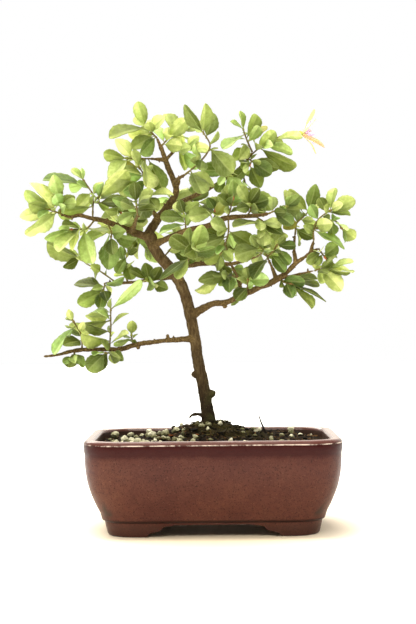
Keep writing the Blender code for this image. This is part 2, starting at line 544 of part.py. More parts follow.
def wall_size(inset):
    """Return half the width and half the depth of the pot at an inset in mm."""
    return POT_WIDTH / 2 - inset * MM, POT_DEPTH / 2 - inset * MM


def arch_cutter(name, half_span, foot_length, half_depth, turn, group):
    """Make the cloud-shaped prism that parts two feet on one pair of sides."""
    outer = half_span - foot_length
    inner = outer - ARCH_SLOPE
    curve = bpy.data.curves.new(name, "CURVE")
    curve.dimensions = "2D"
    curve.fill_mode = "BOTH"
    curve.extrude = half_depth
    half = [(outer + 2 * MM, -3 * MM), (outer, 0.8 * MM), (outer - 2 * MM, 2.6 * MM),
            ((outer + inner) / 2 + 1 * MM, 4 * MM), ((outer + inner) / 2 - 2 * MM, 6.6 * MM),
            (inner + 2 * MM, 7.2 * MM), (inner, ARCH_TOP)]
    outline = half + [(-x, z) for x, z in reversed(half)]
    spline = curve.splines.new("POLY")
    spline.points.add(len(outline) - 1)
    for point, (x, z) in zip(spline.points, outline):
        point.co = (x, z, 0, 1)
    spline.use_cyclic_u = True
    guide = bpy.data.objects.new(name + "_outline", curve)
    group.objects.link(guide)
    mesh = evaluated_mesh(guide)
    bm = bmesh.new()
    bm.from_mesh(mesh)
    bmesh.ops.remove_doubles(bm, verts=bm.verts, dist=0.01 * MM)
    bmesh.ops.rotate(bm, verts=bm.verts, matrix=Matrix.Rotation(math.pi / 2, 3, "X"))
    bmesh.ops.rotate(bm, verts=bm.verts, matrix=Matrix.Rotation(turn, 3, "Z"))
    bpy.data.meshes.remove(mesh)
    bpy.data.objects.remove(guide, do_unlink=True)
    bpy.data.curves.remove(curve)
    return object_from_bmesh(bm, name, group)


def cylinder(name, radius, bottom, top, centre, segments, group):
    bm = bmesh.new()
    bmesh.ops.create_cone(bm, cap_ends=True, segments=segments, radius1=radius, radius2=radius,
                          depth=top - bottom)
    bmesh.ops.translate(bm, vec=(centre[0], centre[1], (top + bottom) / 2), verts=bm.verts)
    return object_from_bmesh(bm, name, group)


def make_pot(group, cutters):
    """One fired body: the outer wall is drawn up from the foot, over the rim and down to the floor."""
    foot_x, foot_y = wall_size(POT_PROFILE[0][1])
    bm, face = rounded_block(foot_x, foot_y, 0)
    half_x, half_y = wall_size(POT_PROFILE[1][1])
    fit_ring(face, half_x, half_y, POT_PROFILE[1][0] * MM)
    for height, inset in POT_PROFILE[2:] + CAVITY_PROFILE[::-1]:
        half_x, half_y = wall_size(inset)
        face = next_ring(bm, face, half_x, half_y, height * MM)
    pot = object_from_bmesh(bm, "pot", group)
    half_x, half_y = wall_size(POT_PROFILE[2][1])
    bm, face = rounded_block(half_x - FOOT_WALL, half_y - FOOT_WALL, -3 * MM)
    fit_ring(face, half_x - FOOT_WALL, half_y - FOOT_WALL, FLOOR_BOTTOM)
    cut(pot, object_from_bmesh(bm, "foot_recess", cutters))
    cut(pot, arch_cutter("arch_front_back", half_x, FOOT_LENGTH_WIDE, POT_DEPTH, 0, cutters))
    cut(pot, arch_cutter("arch_sides", half_y, FOOT_LENGTH_DEEP, POT_WIDTH, math.pi / 2, cutters))
    for side, place in ((-1, "left"), (1, "right")):
        cut(pot, cylinder("drain_" + place, DRAIN_RADIUS, 0, FLOOR_TOP + 5 * MM,
                          (side * DRAIN_OFFSET, 0), 20, cutters))
    paint(pot, (0.13, 0.042, 0.024), 0.28)
    return pot


def make_screen(name, centre_x, group, cutters):
    """A plastic mesh square on the pot's floor, over a drain hole."""
    bm = bmesh.new()
    bmesh.ops.create_cube(bm, size=1)
    bmesh.ops.scale(bm, vec=(SCREEN_SIDE, SCREEN_SIDE, SCREEN_THICKNESS), verts=bm.verts)
    bottom = FLOOR_TOP + GAP
    bmesh.ops.translate(bm, vec=(centre_x, 0, bottom + SCREEN_THICKNESS / 2), verts=bm.verts)
    screen = object_from_bmesh(bm, name, group)
    pitch = SCREEN_SIDE / SCREEN_HOLES
    bm = bmesh.new()
    for column in range(SCREEN_HOLES):
        for row in range(SCREEN_HOLES):
            x = centre_x + (column - (SCREEN_HOLES - 1) / 2) * pitch
            y = (row - (SCREEN_HOLES - 1) / 2) * pitch
            made = bmesh.ops.create_cube(bm, size=SCREEN_HOLE)
            bmesh.ops.translate(bm, vec=(x, y, bottom + SCREEN_THICKNESS / 2), verts=made["verts"])
    cut(screen, object_from_bmesh(bm, name + "_holes", cutters))
    paint(screen, (0.02, 0.02, 0.02), 0.6)
    return screen


def soil_height(x, y):
    """The soil's level: a low crown, a mound round the trunk, and lumps a few millimetres across."""
    half_x, half_y = wall_size(WALL / MM)
    out = max(abs(x) / half_x, abs(y) / half_y)
    level = SOIL_EDGE + SOIL_CROWN * (1 - out ** 3)
    away = math.hypot(x - TRUNK_FOOT.x, (y - TRUNK_FOOT.y) * 1.15) / MOUND_REACH
    level += MOUND_HEIGHT * math.exp(-away * away)
    across = math.sin(x / (2.9 * MM) + 1.7 * math.sin(y / (4.3 * MM)))
    lumps = across * math.cos(y / (3.3 * MM) + x / (7 * MM))
    return level + SOIL_RELIEF * lumps * min(1, (1 - out) * 6)


def grit_places(rng):
    """Return the grit seen at the front, and more of it scattered evenly over the rest of the soil."""
    places = [tuple(value * MM for value in stone) for stone in GRIT]
    half_x, half_y = wall_size(WALL / MM)
    wanted = len(places) + SCATTERED_GRIT
    for _ in range(2000):
        if len(places) == wanted:
            break
        x = rng.uniform(-0.86, 0.86) * half_x
        y = rng.uniform(-0.84, 0.84) * half_y
        radius = rng.uniform(*GRIT_RADIUS) * MM
        in_corner = abs(x) > half_x - 14 * MM and abs(y) > half_y - 14 * MM
        near_trunk = math.hypot(x - TRUNK_FOOT.x, y - TRUNK_FOOT.y) < 13 * MM
        near_stick = math.hypot(x - DRY_STICK[0][0] * MM, y - DRY_STICK[0][1] * MM) < 8 * MM
        crowded = any(math.hypot(x - a, y - b) < 9 * MM for a, b, _, _ in places)
        if not (in_corner or near_trunk or near_stick or crowded):
            places.append((x, y, radius * 0.2, radius))
    return places


def make_soil(group, cutters):
    """The filled pot's growing mix, with grit bedded in its top and plain holes for what stands in it."""
    rng = random.Random(7)
    rings = [(height, inset) for height, inset in CAVITY_PROFILE if height * MM < SOIL_EDGE - 2 * MM]
    start_x, start_y = wall_size(rings[0][1])
    bm, face = rounded_block(start_x - GAP, start_y - GAP, FLOOR_TOP + GAP)
    for height, inset in rings[1:]:
        half_x, half_y = wall_size(inset)
        face = next_ring(bm, face, half_x - GAP, half_y - GAP, height * MM)
    edge_x, edge_y = (half - 2 * GAP for half in wall_size(WALL / MM))
    face = next_ring(bm, face, edge_x, edge_y, SOIL_EDGE)
    surface = []
    for share in SOIL_RINGS:
        face = next_ring(bm, face, edge_x * share, edge_y * share, SOIL_EDGE)
        surface.extend(face.verts)
    centre = bmesh.ops.poke(bm, faces=[face])["verts"]
    for v in surface + centre:
        v.co.x += rng.uniform(-0.9, 0.9) * MM
        v.co.y += rng.uniform(-0.9, 0.9) * MM
        v.co.z = soil_height(v.co.x, v.co.y)
    soil = object_from_bmesh(bm, "soil", group)
    stones = []
    for number, (x, y, lift, radius) in enumerate(grit_places(rng)):
        bm = bmesh.new()
        bmesh.ops.create_cone(bm, cap_ends=True, segments=5, radius1=radius * 1.15, radius2=radius * 0.6,
                              depth=radius * 2)
        squash = (rng.uniform(0.95, 1.25), rng.uniform(0.8, 1), rng.uniform(0.7, 0.9))
        bmesh.ops.scale(bm, vec=squash, verts=bm.verts)
        turn = Matrix.Rotation(rng.uniform(0, math.tau), 3, "Z")
        turn = turn @ Matrix.Rotation(rng.uniform(-0.4, 0.4), 3, "X")
        bmesh.ops.rotate(bm, verts=bm.verts, matrix=turn)
        bmesh.ops.translate(bm, vec=(x, y, soil_height(x, y) + lift), verts=bm.verts)
        stones.append(object_from_bmesh(bm, f"stone_{number}", group))
    fuse(soil, stones, "stones")
    cut(soil, cylinder("trunk_hole", TRUNK_HOLE, TRUNK_FOOT.z - GAP, POT_HEIGHT + 30 * MM,
                       TRUNK_FOOT, 16, cutters))
    low, high = mm(DRY_STICK[0]), mm(DRY_STICK[1])
    along = (high - low).normalized()
    start = low - along * GAP
    hole = tube("stick_hole", [(*start, TWIG_HOLE), (*(high + along * 5 * MM), TWIG_HOLE)], 2, cutters)
    cut(soil, hole)
    for side, place in ((-1, "left"), (1, "right")):
        bm = bmesh.new()
        bmesh.ops.create_cube(bm, size=1)
        side_length = SCREEN_SIDE + 2 * GAP
        tall = 2 * (SCREEN_THICKNESS + 2 * GAP)
        bmesh.ops.scale(bm, vec=(side_length, side_length, tall), verts=bm.verts)
        bmesh.ops.translate(bm, vec=(side * DRAIN_OFFSET, 0, FLOOR_TOP), verts=bm.verts)
        cut(soil, object_from_bmesh(bm, "screen_seat_" + place, cutters))
    paint(soil, (0.045, 0.033, 0.022), 0.95)
    return soil


def make_trunk(group):
    """The trunk with its branches, cut stubs and knobs: grown as one piece of wood."""
    pieces = []
    for name, points in BRANCHES.items():
        steps = 2 if len(points) < 4 else 1
        route = [tuple(value * MM for value in point) for point in smooth_route(points, steps)]
        thick = 2 if name == "trunk" else (1 if points[0][3] > FINE_TWIG else 0)
        pieces.append(tube(name, route, thick, group))
    for number, (x, y, z, radius) in enumerate(KNOBS):
        bm = bmesh.new()
        bmesh.ops.create_icosphere(bm, subdivisions=1, radius=radius * MM)
        bmesh.ops.translate(bm, vec=(x * MM, y * MM, z * MM), verts=bm.verts)
        pieces.append(object_from_bmesh(bm, f"knob_{number}", group))
    trunk = fuse(pieces[0], pieces[1:], "wood")
    paint(trunk, (0.17, 0.115, 0.075), 0.85)
    return trunk


def prism(route, extra, sides=6):
    """Return the points and triangles of a plain prism along (x, y, z, radius) values in metres."""
    points = []
    triangles = []
    for i, (x, y, z, radius) in enumerate(route):
        here = Vector((x, y, z))
        before = Vector(route[max(i - 1, 0)][:3])
        after = Vector(route[min(i + 1, len(route) - 1)][:3])
        turn = (after - before).to_track_quat("Z", "Y")
        for side in range(sides):
            angle = math.tau * side / sides
            reach = radius + extra
            points.append(here + turn @ Vector((reach * math.cos(angle), reach * math.sin(angle), 0)))
    for i in range(len(route) - 1):
        for side in range(sides):
            a = i * sides + side
            b = i * sides + (side + 1) % sides
            triangles.append((a, b, b + sides))
            triangles.append((a, b + sides, a + sides))
    for ring in (0, (len(route) - 1) * sides):
        for side in range(1, sides - 1):
            triangles.append((ring, ring + side, ring + side + 1))
    return points, triangles


def blade_points(length, half_width, thickness, sections, fold, arch, root, skew=1.0):
    """Return one blade's points along +X: its root, its four-point sections and its tip."""
    points = [Vector((-root, 0, 0))]
    for share, width, ahead in sections:
        x = length * share
        z = -arch * length * share * share
        half = half_width * width
        lift = half * fold
        shift = ahead * length * skew
        points.append(Vector((x + shift, half, z + lift)))
        points.append(Vector((x, 0, z + thickness / 2)))
        points.append(Vector((x - shift, -half, z + lift)))
        points.append(Vector((x, 0, z - thickness / 2)))
    points.append(Vector((length, 0, -arch * length)))
    return points


def blade_triangles(sections, first=0):
    """Return a blade's triangles, split alike on its two faces, from a section onwards."""
    triangles = []
    tip = 1 + 4 * sections
    start = 1 + 4 * first
    for j in range(4):
        k = (j + 1) % 4
        triangles.append((0 if first == 0 else start, start + k, start + j))
        triangles.append((tip - 4 + j, tip - 4 + k, tip))
    for a in range(start, tip - 4, 4):
        b = a + 4
        for j in range(4):
            k = (j + 1) % 4
            if j % 2 == 0:
                triangles.append((a + j, a + k, b + k))
                triangles.append((a + j, b + k, b + j))
            else:
                triangles.append((a + j, a + k, b + j))
                triangles.append((a + k, b + k, b + j))
    return [t for t in triangles if len(set(t)) == 3]


def blade_object(name, points, sections, group):
    bm = bmesh.new()
    made = [bm.verts.new(point) for point in points]
    for triangle in blade_triangles(sections):
        bm.faces.new([made[i] for i in triangle])
    return object_from_bmesh(bm, name, group)


def leaf_frame(position, direction, facing):
    """Return the matrix that puts a blade's root at a position, along a direction, facing a way."""
    forward = direction.normalized()
    up = (facing - forward * facing.dot(forward)).normalized()
    side = up.cross(forward)
    return Matrix.Translation(position) @ Matrix((forward, side, up)).transposed().to_4x4()


def on_route(route, share):
    """Return the point and the direction at a share of a route's length."""
    spots = [Vector(value[:3]) for value in route]
    lengths = [(b - a).length for a, b in zip(spots, spots[1:])]
    left = share * sum(lengths)
    for a, b, length in zip(spots, spots[1:], lengths):
        if left <= length or b is spots[-1]:
            return a.lerp(b, min(1, left / length)), (b - a).normalized()
        left -= length


def stem_routes(stems):
    """Return a shoot's stems as (x, y, z, radius) values in metres, the later ones forking off the first."""
    routes = []
    for points, _ in stems:
        spots = [mm(point) for point in points]
        if routes:
            main = [Vector(value[:3]) for value in routes[0]]
            near = [intersect_point_line(spots[0], a, b) for a, b in zip(main, main[1:])]
            onto = [a.lerp(b, min(1, max(0, share))) for (_, share), a, b in zip(near, main, main[1:])]
            spots[0] = min(onto, key=lambda spot: (spot - spots[0]).length)
        last = len(spots) - 1
        thinning = (1 - STEM_TIP) / last
        routes.append([(*spot, STEM_RADIUS * (1 - thinning * i)) for i, spot in enumerate(spots)])
    return routes


def flower_axis():
    return Vector(FLOWER_AXIS).normalized()


def stalk_route(start_gap):
    """Return the flower stalk's route, from a gap off the end of the shoot that carries it."""
    stems = next(stems for name, stems, _ in SHOOTS if name == FLOWER_SHOOT)
    shoot_end = mm(stems[0][0][-1])
    centre = mm(FLOWER_CENTRE)
    bend = centre - flower_axis() * 5 * MM + Vector((0, 0, 1.5 * MM))
    start = shoot_end + (centre - shoot_end).normalized() * start_gap
    return smooth_route([(*start, STALK_RADIUS), (*bend, STALK_RADIUS), (*centre, STALK_RADIUS)], 3)


class Crown:
    """Keeps every leaf clear of the wood, of the other shoots and of the leaves placed before it."""

    def __init__(self):
        points, triangles = [], []
        for branch in BRANCHES.values():
            route = [tuple(value * MM for value in p) for p in smooth_route(branch, 2)]
            more_points, more = prism(route, GAP)
            triangles += [tuple(i + len(points) for i in t) for t in more]
            points += more_points
        self.wood = BVHTree.FromPolygons(points, triangles, all_triangles=True)
        self.stems = []
        for name, stems, _ in SHOOTS:
            for route in stem_routes(stems):
                points, triangles = prism(route, GAP * 0.7)
                self.stems.append((name, BVHTree.FromPolygons(points, triangles, all_triangles=True)))
        open_flower = [(*mm(FLOWER_CENTRE), 3 * MM), (*(mm(FLOWER_CENTRE) + flower_axis() * 9 * MM), 17 * MM)]
        for route in (open_flower, stalk_route(2 * GAP)):
            points, triangles = prism(route, GAP)
            self.stems.append(("flower", BVHTree.FromPolygons(points, triangles, all_triangles=True)))
        self.leaves = []

    def takes(self, shoot, points, sections):
        """Say whether a leaf fits, and keep it if it does."""
        whole = BVHTree.FromPolygons(points, blade_triangles(sections), all_triangles=True)
        outer = BVHTree.FromPolygons(points, blade_triangles(sections, 1), all_triangles=True)
        if self.wood.overlap(whole):
            return False
        for owner, stem in self.stems:
            if stem.overlap(outer if owner == shoot else whole):
                return False
        middle = (points[0] + points[-1]) / 2
        reach = (points[0] - points[-1]).length / 2 + 2 * MM
        for owner, other_whole, other_outer, other_middle, other_reach in self.leaves:
            if (middle - other_middle).length > reach + other_reach:
                continue
            if owner == shoot and other_outer.overlap(outer):
                return False
            if owner != shoot and other_whole.overlap(whole):
                return False
        self.leaves.append((shoot, whole, outer, middle, reach))
        return True


def spread_wide(rng):
    """Return a random offset that is as likely to point one way as another."""
    return Vector((rng.gauss(0, 1), rng.gauss(0, 1), rng.gauss(0, 1)))


def shown_leaf(rng, route, leaf, attempt):
    """Return where a leaf with a known tip grows, which way it points and faces, its length and width."""
    share, *tip, width = leaf
    position, _ = on_route(route, share)
    reach = mm(tip) + spread_wide(rng) * TIP_SHIFT * attempt - position
    reach.y += rng.uniform(-1, 1) * TIP_DEPTH
    shown = min(1, width * MM / (NATURAL_WIDTH * reach.length))
    turned = rng.choice((-1, 1)) * min(math.acos(shown), MOST_TURNED)
    facing = Matrix.Rotation(turned, 3, reach) @ SHOWN_FACING + spread_wide(rng) * (0.12 + 0.02 * attempt)
    usual_width = 2 * reach.length * LEAF_HALF_WIDTH
    return position, reach.normalized(), facing, reach.length, width * MM / math.cos(turned) / usual_width


def ruled_leaf(rng, route, number, count, attempt, typical):
    """Return the same for the next of a number of leaves that take turns along a stem."""
    last = number == count - 1
    share = 1 if last else LEAF_ZONE + (1 - LEAF_ZONE) * (number + 0.35) / count
    position, forward = on_route(route, share)
    outward = Vector((position.x - TRUNK_FOOT.x, position.y - TRUNK_FOOT.y, 0)).normalized()
    level = forward.cross(Vector((0, 0, 1)) if abs(forward.z) < 0.75 else outward).normalized()
    rise = level.cross(forward)
    turn = number * math.pi + rng.uniform(-0.6, 0.6) + (attempt % 4) * rng.uniform(-0.6, 0.6)
    if abs(forward.z) >= 0.6:
        turn = number * math.radians(137.5) + rng.uniform(-0.3, 0.3) + attempt * 0.6
    spread = math.radians(rng.uniform(42, 74) if not last else rng.uniform(4, 22) + 3 * attempt)
    sideways = level * math.cos(turn) + rise * math.sin(turn)
    direction = forward * math.cos(spread) + sideways * math.sin(spread)
    direction.z += rng.uniform(-0.25, 0.2)
    facing = LEAF_LIGHT + outward * 0.3 + spread_wide(rng) * (0.5 + 0.05 * attempt)
    young = 0.72 + 0.28 * math.sin(math.pi * (0.15 + 0.7 * number / count))
    length = typical * MM * LEAF_GROWTH * young * rng.uniform(0.84, 1.1) * (1 - 0.02 * attempt)
    return position, direction.normalized(), facing, length, rng.uniform(0.9, 1.12)


def place_leaves():
    """Place all leaves by rule, and return for each shoot a list of (frame, length, shape) values."""
    crown = Crown()
    sections = len(LEAF_SECTIONS)
    placed = {}
    for order, (name, stems, typical) in enumerate(SHOOTS):
        rng = random.Random(LEAF_SEED + order)
        placed[name] = []
        for route, (_, leaves) in zip(stem_routes(stems), stems):
            shown = isinstance(leaves, list)
            arch = SHOWN_ARCH if shown else LEAF_ARCH
            count = len(leaves) if shown else leaves
            for number in range(count):
                for attempt in range(LEAF_TRIES):
                    if shown:
                        pose = shown_leaf(rng, route, leaves[number], attempt)
                    else:
                        pose = ruled_leaf(rng, route, number, count, attempt, typical)
                    position, direction, facing, length, width = pose
                    shape = {"width": width, "fold": rng.uniform(*LEAF_FOLD),
                             "arch": rng.uniform(0, arch), "skew": rng.choice((-1, 1))}
                    frame = leaf_frame(position, direction, facing)
                    half_width = length * LEAF_HALF_WIDTH * width
                    probe = blade_points(length * LEAF_MARGIN, half_width * LEAF_MARGIN,
                                         LEAF_THICKNESS + 2 * GAP, LEAF_SECTIONS, shape["fold"],
                                         shape["arch"], LEAF_ROOT, shape["skew"])
                    if crown.takes(name, [frame @ point for point in probe], sections):
                        placed[name].append((frame, length, shape))
                        break
    return placed


def seat_route(route, radius, wood):
    """Shorten a stem at its start so that its end lies a small gap off the wood that it grows from."""
    start = Vector(route[0][:3])
    toward = Vector(route[1][:3])
    along = (toward - start).normalized()
    turn = along.to_track_quat("Z", "Y")
    rim = [turn @ Vector((radius * math.cos(a), radius * math.sin(a), 0))
           for a in (math.tau * i / 8 for i in range(8))] + [Vector()]
    step = 0.05 * MM
    last_inside = 0
    for count in range(240):
        for offset in rim:
            point = start + along * (count * step) + offset
            near, normal, _, distance = wood.find_nearest(point)
            if distance < GAP or (point - near).dot(normal) < -distance / 2:
                last_inside = count
    first = start + along * ((last_inside + 1) * step)
    rest = [value for value in route[1:] if (Vector(value[:3]) - start).length
            > (first - start).length + 1 * MM]
    return [(*first, route[0][3])] + rest


def make_shoots(group, trunk):
    """Each leafy shoot is one body: a green stem or two, with the leaves' roots sunk in them."""
    trunk_mesh = bmesh.new()
    trunk_mesh.from_mesh(trunk.data)
    wood = BVHTree.FromBMesh(trunk_mesh)
    trunk_mesh.free()
    sections = len(LEAF_SECTIONS)
    placed = place_leaves()
    for name, stems, _ in SHOOTS:
        pieces = []
        for number, route in enumerate(stem_routes(stems)):
            if number == 0:
                route = seat_route(route, STEM_RADIUS, wood)
            pieces.append(tube(f"{name}_stem_{number}", route, 0, group))
        for number, (frame, length, shape) in enumerate(placed[name]):
            points = blade_points(length, length * LEAF_HALF_WIDTH * shape["width"], LEAF_THICKNESS,
                                  LEAF_SECTIONS, shape["fold"], shape["arch"], LEAF_ROOT, shape["skew"])
            pieces.append(blade_object(f"{name}_leaf_{number}", [frame @ p for p in points], sections, group))
        shoot = fuse(pieces[0], pieces[1:], name + "_pieces")
        shoot.name = name
        paint(shoot, (0.16, 0.3, 0.045), 0.5)
    print("leaves", sum(len(leaves) for leaves in placed.values()))


def hub(name, base, turn, radius, height, group):
    """A small disc that the flower's parts of one kind grow from, standing on the flower's axis."""
    bm = bmesh.new()
    bmesh.ops.create_cone(bm, cap_ends=True, segments=8, radius1=radius, radius2=radius * 0.8, depth=height)
    bmesh.ops.translate(bm, vec=(0, 0, height / 2), verts=bm.verts)
    bmesh.ops.transform(bm, matrix=Matrix.Translation(base) @ turn.to_matrix().to_4x4(), verts=bm.verts)
    return object_from_bmesh(bm, name, group)


def petal_ring(name, base, turn, hub_radius, length, half_width, spreads, first_turn, group):
    """Fuse narrow blades with the disc that they spread from, each with its own lean from the axis."""
    pieces = [hub(name, base, turn, hub_radius, HUB_HEIGHT, group)]
    sections = len(SEPAL_SECTIONS)
    root = turn @ Vector((0, 0, BLADE_HEIGHT))
    for number, spread in enumerate(spreads):
        angle = math.radians(first_turn + 360 / len(spreads) * number)
        radial = turn @ Vector((math.cos(angle), math.sin(angle), 0))
        axis = turn @ Vector((0, 0, 1))
        lean = math.radians(spread)
        direction = radial * math.sin(lean) + axis * math.cos(lean)
        facing = axis * math.sin(lean) - radial * math.cos(lean)
        frame = leaf_frame(base + root, direction, facing)
        points = blade_points(length, half_width, PETAL_THICKNESS, SEPAL_SECTIONS, 0.25, 0.12, 0)
        pieces.append(blade_object(f"{name}_{number}", [frame @ p for p in points], sections, group))
    return fuse(pieces[0], pieces[1:], name + "_pieces")


def make_flower(group):
    """One open flower: its stalk, five long sepals, five short petals and a brush of stamens."""
    axis = flower_axis()
    turn = axis.to_track_quat("Z", "Y")
    stalk = tube("flower_stalk", stalk_route(GAP), 1, group)
    base = mm(FLOWER_CENTRE) - axis * HUB_HEIGHT
    fuse(stalk, [hub("calyx", base, turn, CALYX_RADIUS, HUB_HEIGHT * 1.5, group)], "stalk_pieces")
    paint(stalk, (0.3, 0.42, 0.1), 0.5)
    base += axis * (HUB_HEIGHT * 1.5 + GAP)
    sepals = petal_ring("flower_sepals", base, turn, CALYX_RADIUS, SEPAL_LENGTH, SEPAL_HALF_WIDTH,
                        SEPAL_SPREADS, FLOWER_TURN, group)
    paint(sepals, (0.85, 0.5, 0.3), 0.5)
    base += axis * (HUB_HEIGHT + GAP)
    petals = petal_ring("flower_petals", base, turn, HUB_RADIUS, PETAL_LENGTH, PETAL_HALF_WIDTH,
                        PETAL_SPREADS, FLOWER_TURN + 36, group)
    paint(petals, (0.85, 0.5, 0.75), 0.5)
    base += axis * (HUB_HEIGHT + GAP)
    pieces = [hub("flower_stamens", base, turn, HUB_RADIUS, HUB_HEIGHT, group)]
    for number in range(STAMENS):
        angle = math.tau * number / STAMENS
        lean = math.radians(12 if number % 2 else 30)
        direction = turn @ Vector((math.cos(angle) * math.sin(lean), math.sin(angle) * math.sin(lean),
                                   math.cos(lean)))
        bm = bmesh.new()
        bmesh.ops.create_cone(bm, cap_ends=True, segments=3, radius1=0.35 * MM, radius2=0.3 * MM,
                              depth=STAMEN_LENGTH)
        bmesh.ops.translate(bm, vec=(0, 0, STAMEN_LENGTH / 2), verts=bm.verts)
        lift = direction.to_track_quat("Z", "Y").to_matrix().to_4x4()
        bmesh.ops.transform(bm, matrix=Matrix.Translation(base + axis * BLADE_HEIGHT) @ lift, verts=bm.verts)
        pieces.append(object_from_bmesh(bm, f"stamen_{number}", group))
    stamens = fuse(pieces[0], pieces[1:], "stamen_pieces")
    paint(stamens, (0.8, 0.35, 0.6), 0.6)


def make_dry_stick(group):
    """A dead twig that stands in the soil."""
    low, high = mm(DRY_STICK[0]), mm(DRY_STICK[1])
    middle = low.lerp(high, 0.5)
    route = [(*spot, radius * MM) for spot, radius in zip((low, middle, high), DRY_STICK_RADII)]
    stick = tube("dry_stick", route, 1, group)
    paint(stick, (0.06, 0.045, 0.03), 0.9)


def main():
    clear_scene()
    group = new_collection(OBJECT_NAME)
    cutters = new_collection("cutters")
    make_pot(group, cutters)
    make_screen("drain_screen_left", -DRAIN_OFFSET, group, cutters)
    make_screen("drain_screen_right", DRAIN_OFFSET, group, cutters)
    make_soil(group, cutters)
    trunk = make_trunk(group)
    make_shoots(group, trunk)
    make_flower(group)
    make_dry_stick(group)
    stand = bpy.data.objects.new("pot_centre", None)
    group.objects.link(stand)
    stand.location = POT_CENTRE
    for item in list(group.objects) + list(cutters.objects):
        if item is not stand:
            item.parent = stand


main()
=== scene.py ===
"""The looks of a flowering bonsai: glazed pot, soil with grit and moss, wood, leafy shoots and a flower."""
import math
import random

import bmesh
import bpy
from mathutils import Matrix, Vector, noise
from mathutils.bvhtree import BVHTree
from mathutils.geometry import intersect_point_line
from mathutils.kdtree import KDTree


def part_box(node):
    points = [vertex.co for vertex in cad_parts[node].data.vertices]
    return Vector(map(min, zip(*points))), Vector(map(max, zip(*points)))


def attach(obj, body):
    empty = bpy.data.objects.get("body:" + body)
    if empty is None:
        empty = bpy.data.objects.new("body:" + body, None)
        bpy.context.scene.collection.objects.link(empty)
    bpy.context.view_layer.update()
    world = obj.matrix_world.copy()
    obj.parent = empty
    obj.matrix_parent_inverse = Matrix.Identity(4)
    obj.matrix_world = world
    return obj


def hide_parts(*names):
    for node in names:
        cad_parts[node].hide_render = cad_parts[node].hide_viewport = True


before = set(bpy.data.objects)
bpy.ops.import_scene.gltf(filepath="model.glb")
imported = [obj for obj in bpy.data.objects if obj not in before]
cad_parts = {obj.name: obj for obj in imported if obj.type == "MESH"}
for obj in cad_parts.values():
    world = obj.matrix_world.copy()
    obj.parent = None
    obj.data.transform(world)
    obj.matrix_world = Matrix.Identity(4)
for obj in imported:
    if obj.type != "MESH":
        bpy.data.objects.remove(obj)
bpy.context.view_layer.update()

MM = 0.001
GAP = 0.3 * MM
pot_low, pot_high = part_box("pot")
# The middle of the pot's foot. Every shape is made round it, and moved here at the end.
POT_CENTRE = Vector(((pot_low.x + pot_high.x) / 2, (pot_low.y + pot_high.y) / 2, 0))

# Pot
POT_WIDTH = 160 * MM
POT_DEPTH = 119 * MM
RIM_CORNER = 22 * MM
CORNER_STEPS = 12
# Height in mm, and how far the wall is drawn in from the rim, up the outside from the foot
POT_PROFILE = [(0, 14.9), (0.5, 14.3), (1.4, 13.8), (5, 12.9), (8.5, 12.2), (9.0, 12.15), (9.3, 11.6),
               (9.7, 10.9), (10.3, 10.5), (11.5, 10.2), (14.5, 9.3), (18.5, 7.3), (22.5, 5.6), (26, 4.2),
               (30, 2.95), (34, 1.95), (39, 1.1), (44, 0.65), (48.5, 0.45), (51, 0.4), (51.9, 0.25),
               (52.8, 0.04), (55, 0), (57.2, 0), (58.1, 0.15), (58.8, 0.5), (59.3, 1.05), (59.6, 1.8)]
# The same up the inside, from the floor
CAVITY_PROFILE = [(14, 16.6), (17, 14.9), (21, 13.1), (25, 11.4), (31, 9.6), (38, 8), (52, 7.3),
                  (57.4, 7), (58.5, 6.8), (59.2, 6.2), (59.6, 5.3), (59.7, 4.2), (59.7, 2.9)]
WALL = 7
FOOT_WALL = 8 * MM
FOOT_LENGTH_WIDE = 27 * MM
FOOT_LENGTH_DEEP = 20 * MM
ARCH_SLOPE = 17 * MM
FLOOR_BOTTOM = 8.6 * MM
FLOOR_TOP = 14 * MM
DRAIN_RADIUS = 6 * MM
DRAIN_OFFSET = 29 * MM
INSIDE_TOP = 58 * MM
FOOT_BAND = 12.2

# Soil
SOIL_EDGE = 53.5 * MM
SOIL_CROWN = 3.5 * MM
MOUND_HEIGHT = 10.5 * MM
MOUND_REACH = 28 * MM
SOIL_RELIEF = 1.1 * MM
SOIL_INSET = 7.2
TRUNK_FOOT = Vector((-2.5 * MM, 0, 52 * MM))
# Grit that shows at the front: across, away, how far its middle is lifted off the soil, and radius in mm
GRIT = [(-65, 34, 2.0, 2.7), (-57, -3, 0.7, 2.3), (-52, -13, 0.7, 2.2), (-54, 34, 1.4, 2.2),
        (-46, 15, 0.7, 2.1), (-42, 29, 1.6, 2.1), (-39, 7, 0.8, 2.4), (-36, -17, 0.5, 1.8),
        (-37, -28, 0.5, 1.7), (-30, -10, 0.9, 2.7), (-28, -24, 0.5, 1.8), (-34, 0, 0.6, 1.9),
        (-23, -8, 0.6, 2.0), (-18, -10, 0.5, 1.6), (-20, 3, 0.5, 1.6), (-11, -26, 0.6, 2.0),
        (-7, -10, 0.4, 1.6), (-2, -12, 0.5, 1.7), (5, -7, 0.4, 1.5), (11, -32, 0.5, 1.8),
        (20, -31, 0.4, 1.6), (29, 13, 1.3, 2.6), (45, 9, 0.4, 1.6), (52, 28, 1.9, 2.4), (52, 18, 0.5, 1.7),
        (37, -21, 0.5, 1.7), (58, 30, 0.5, 1.7)]

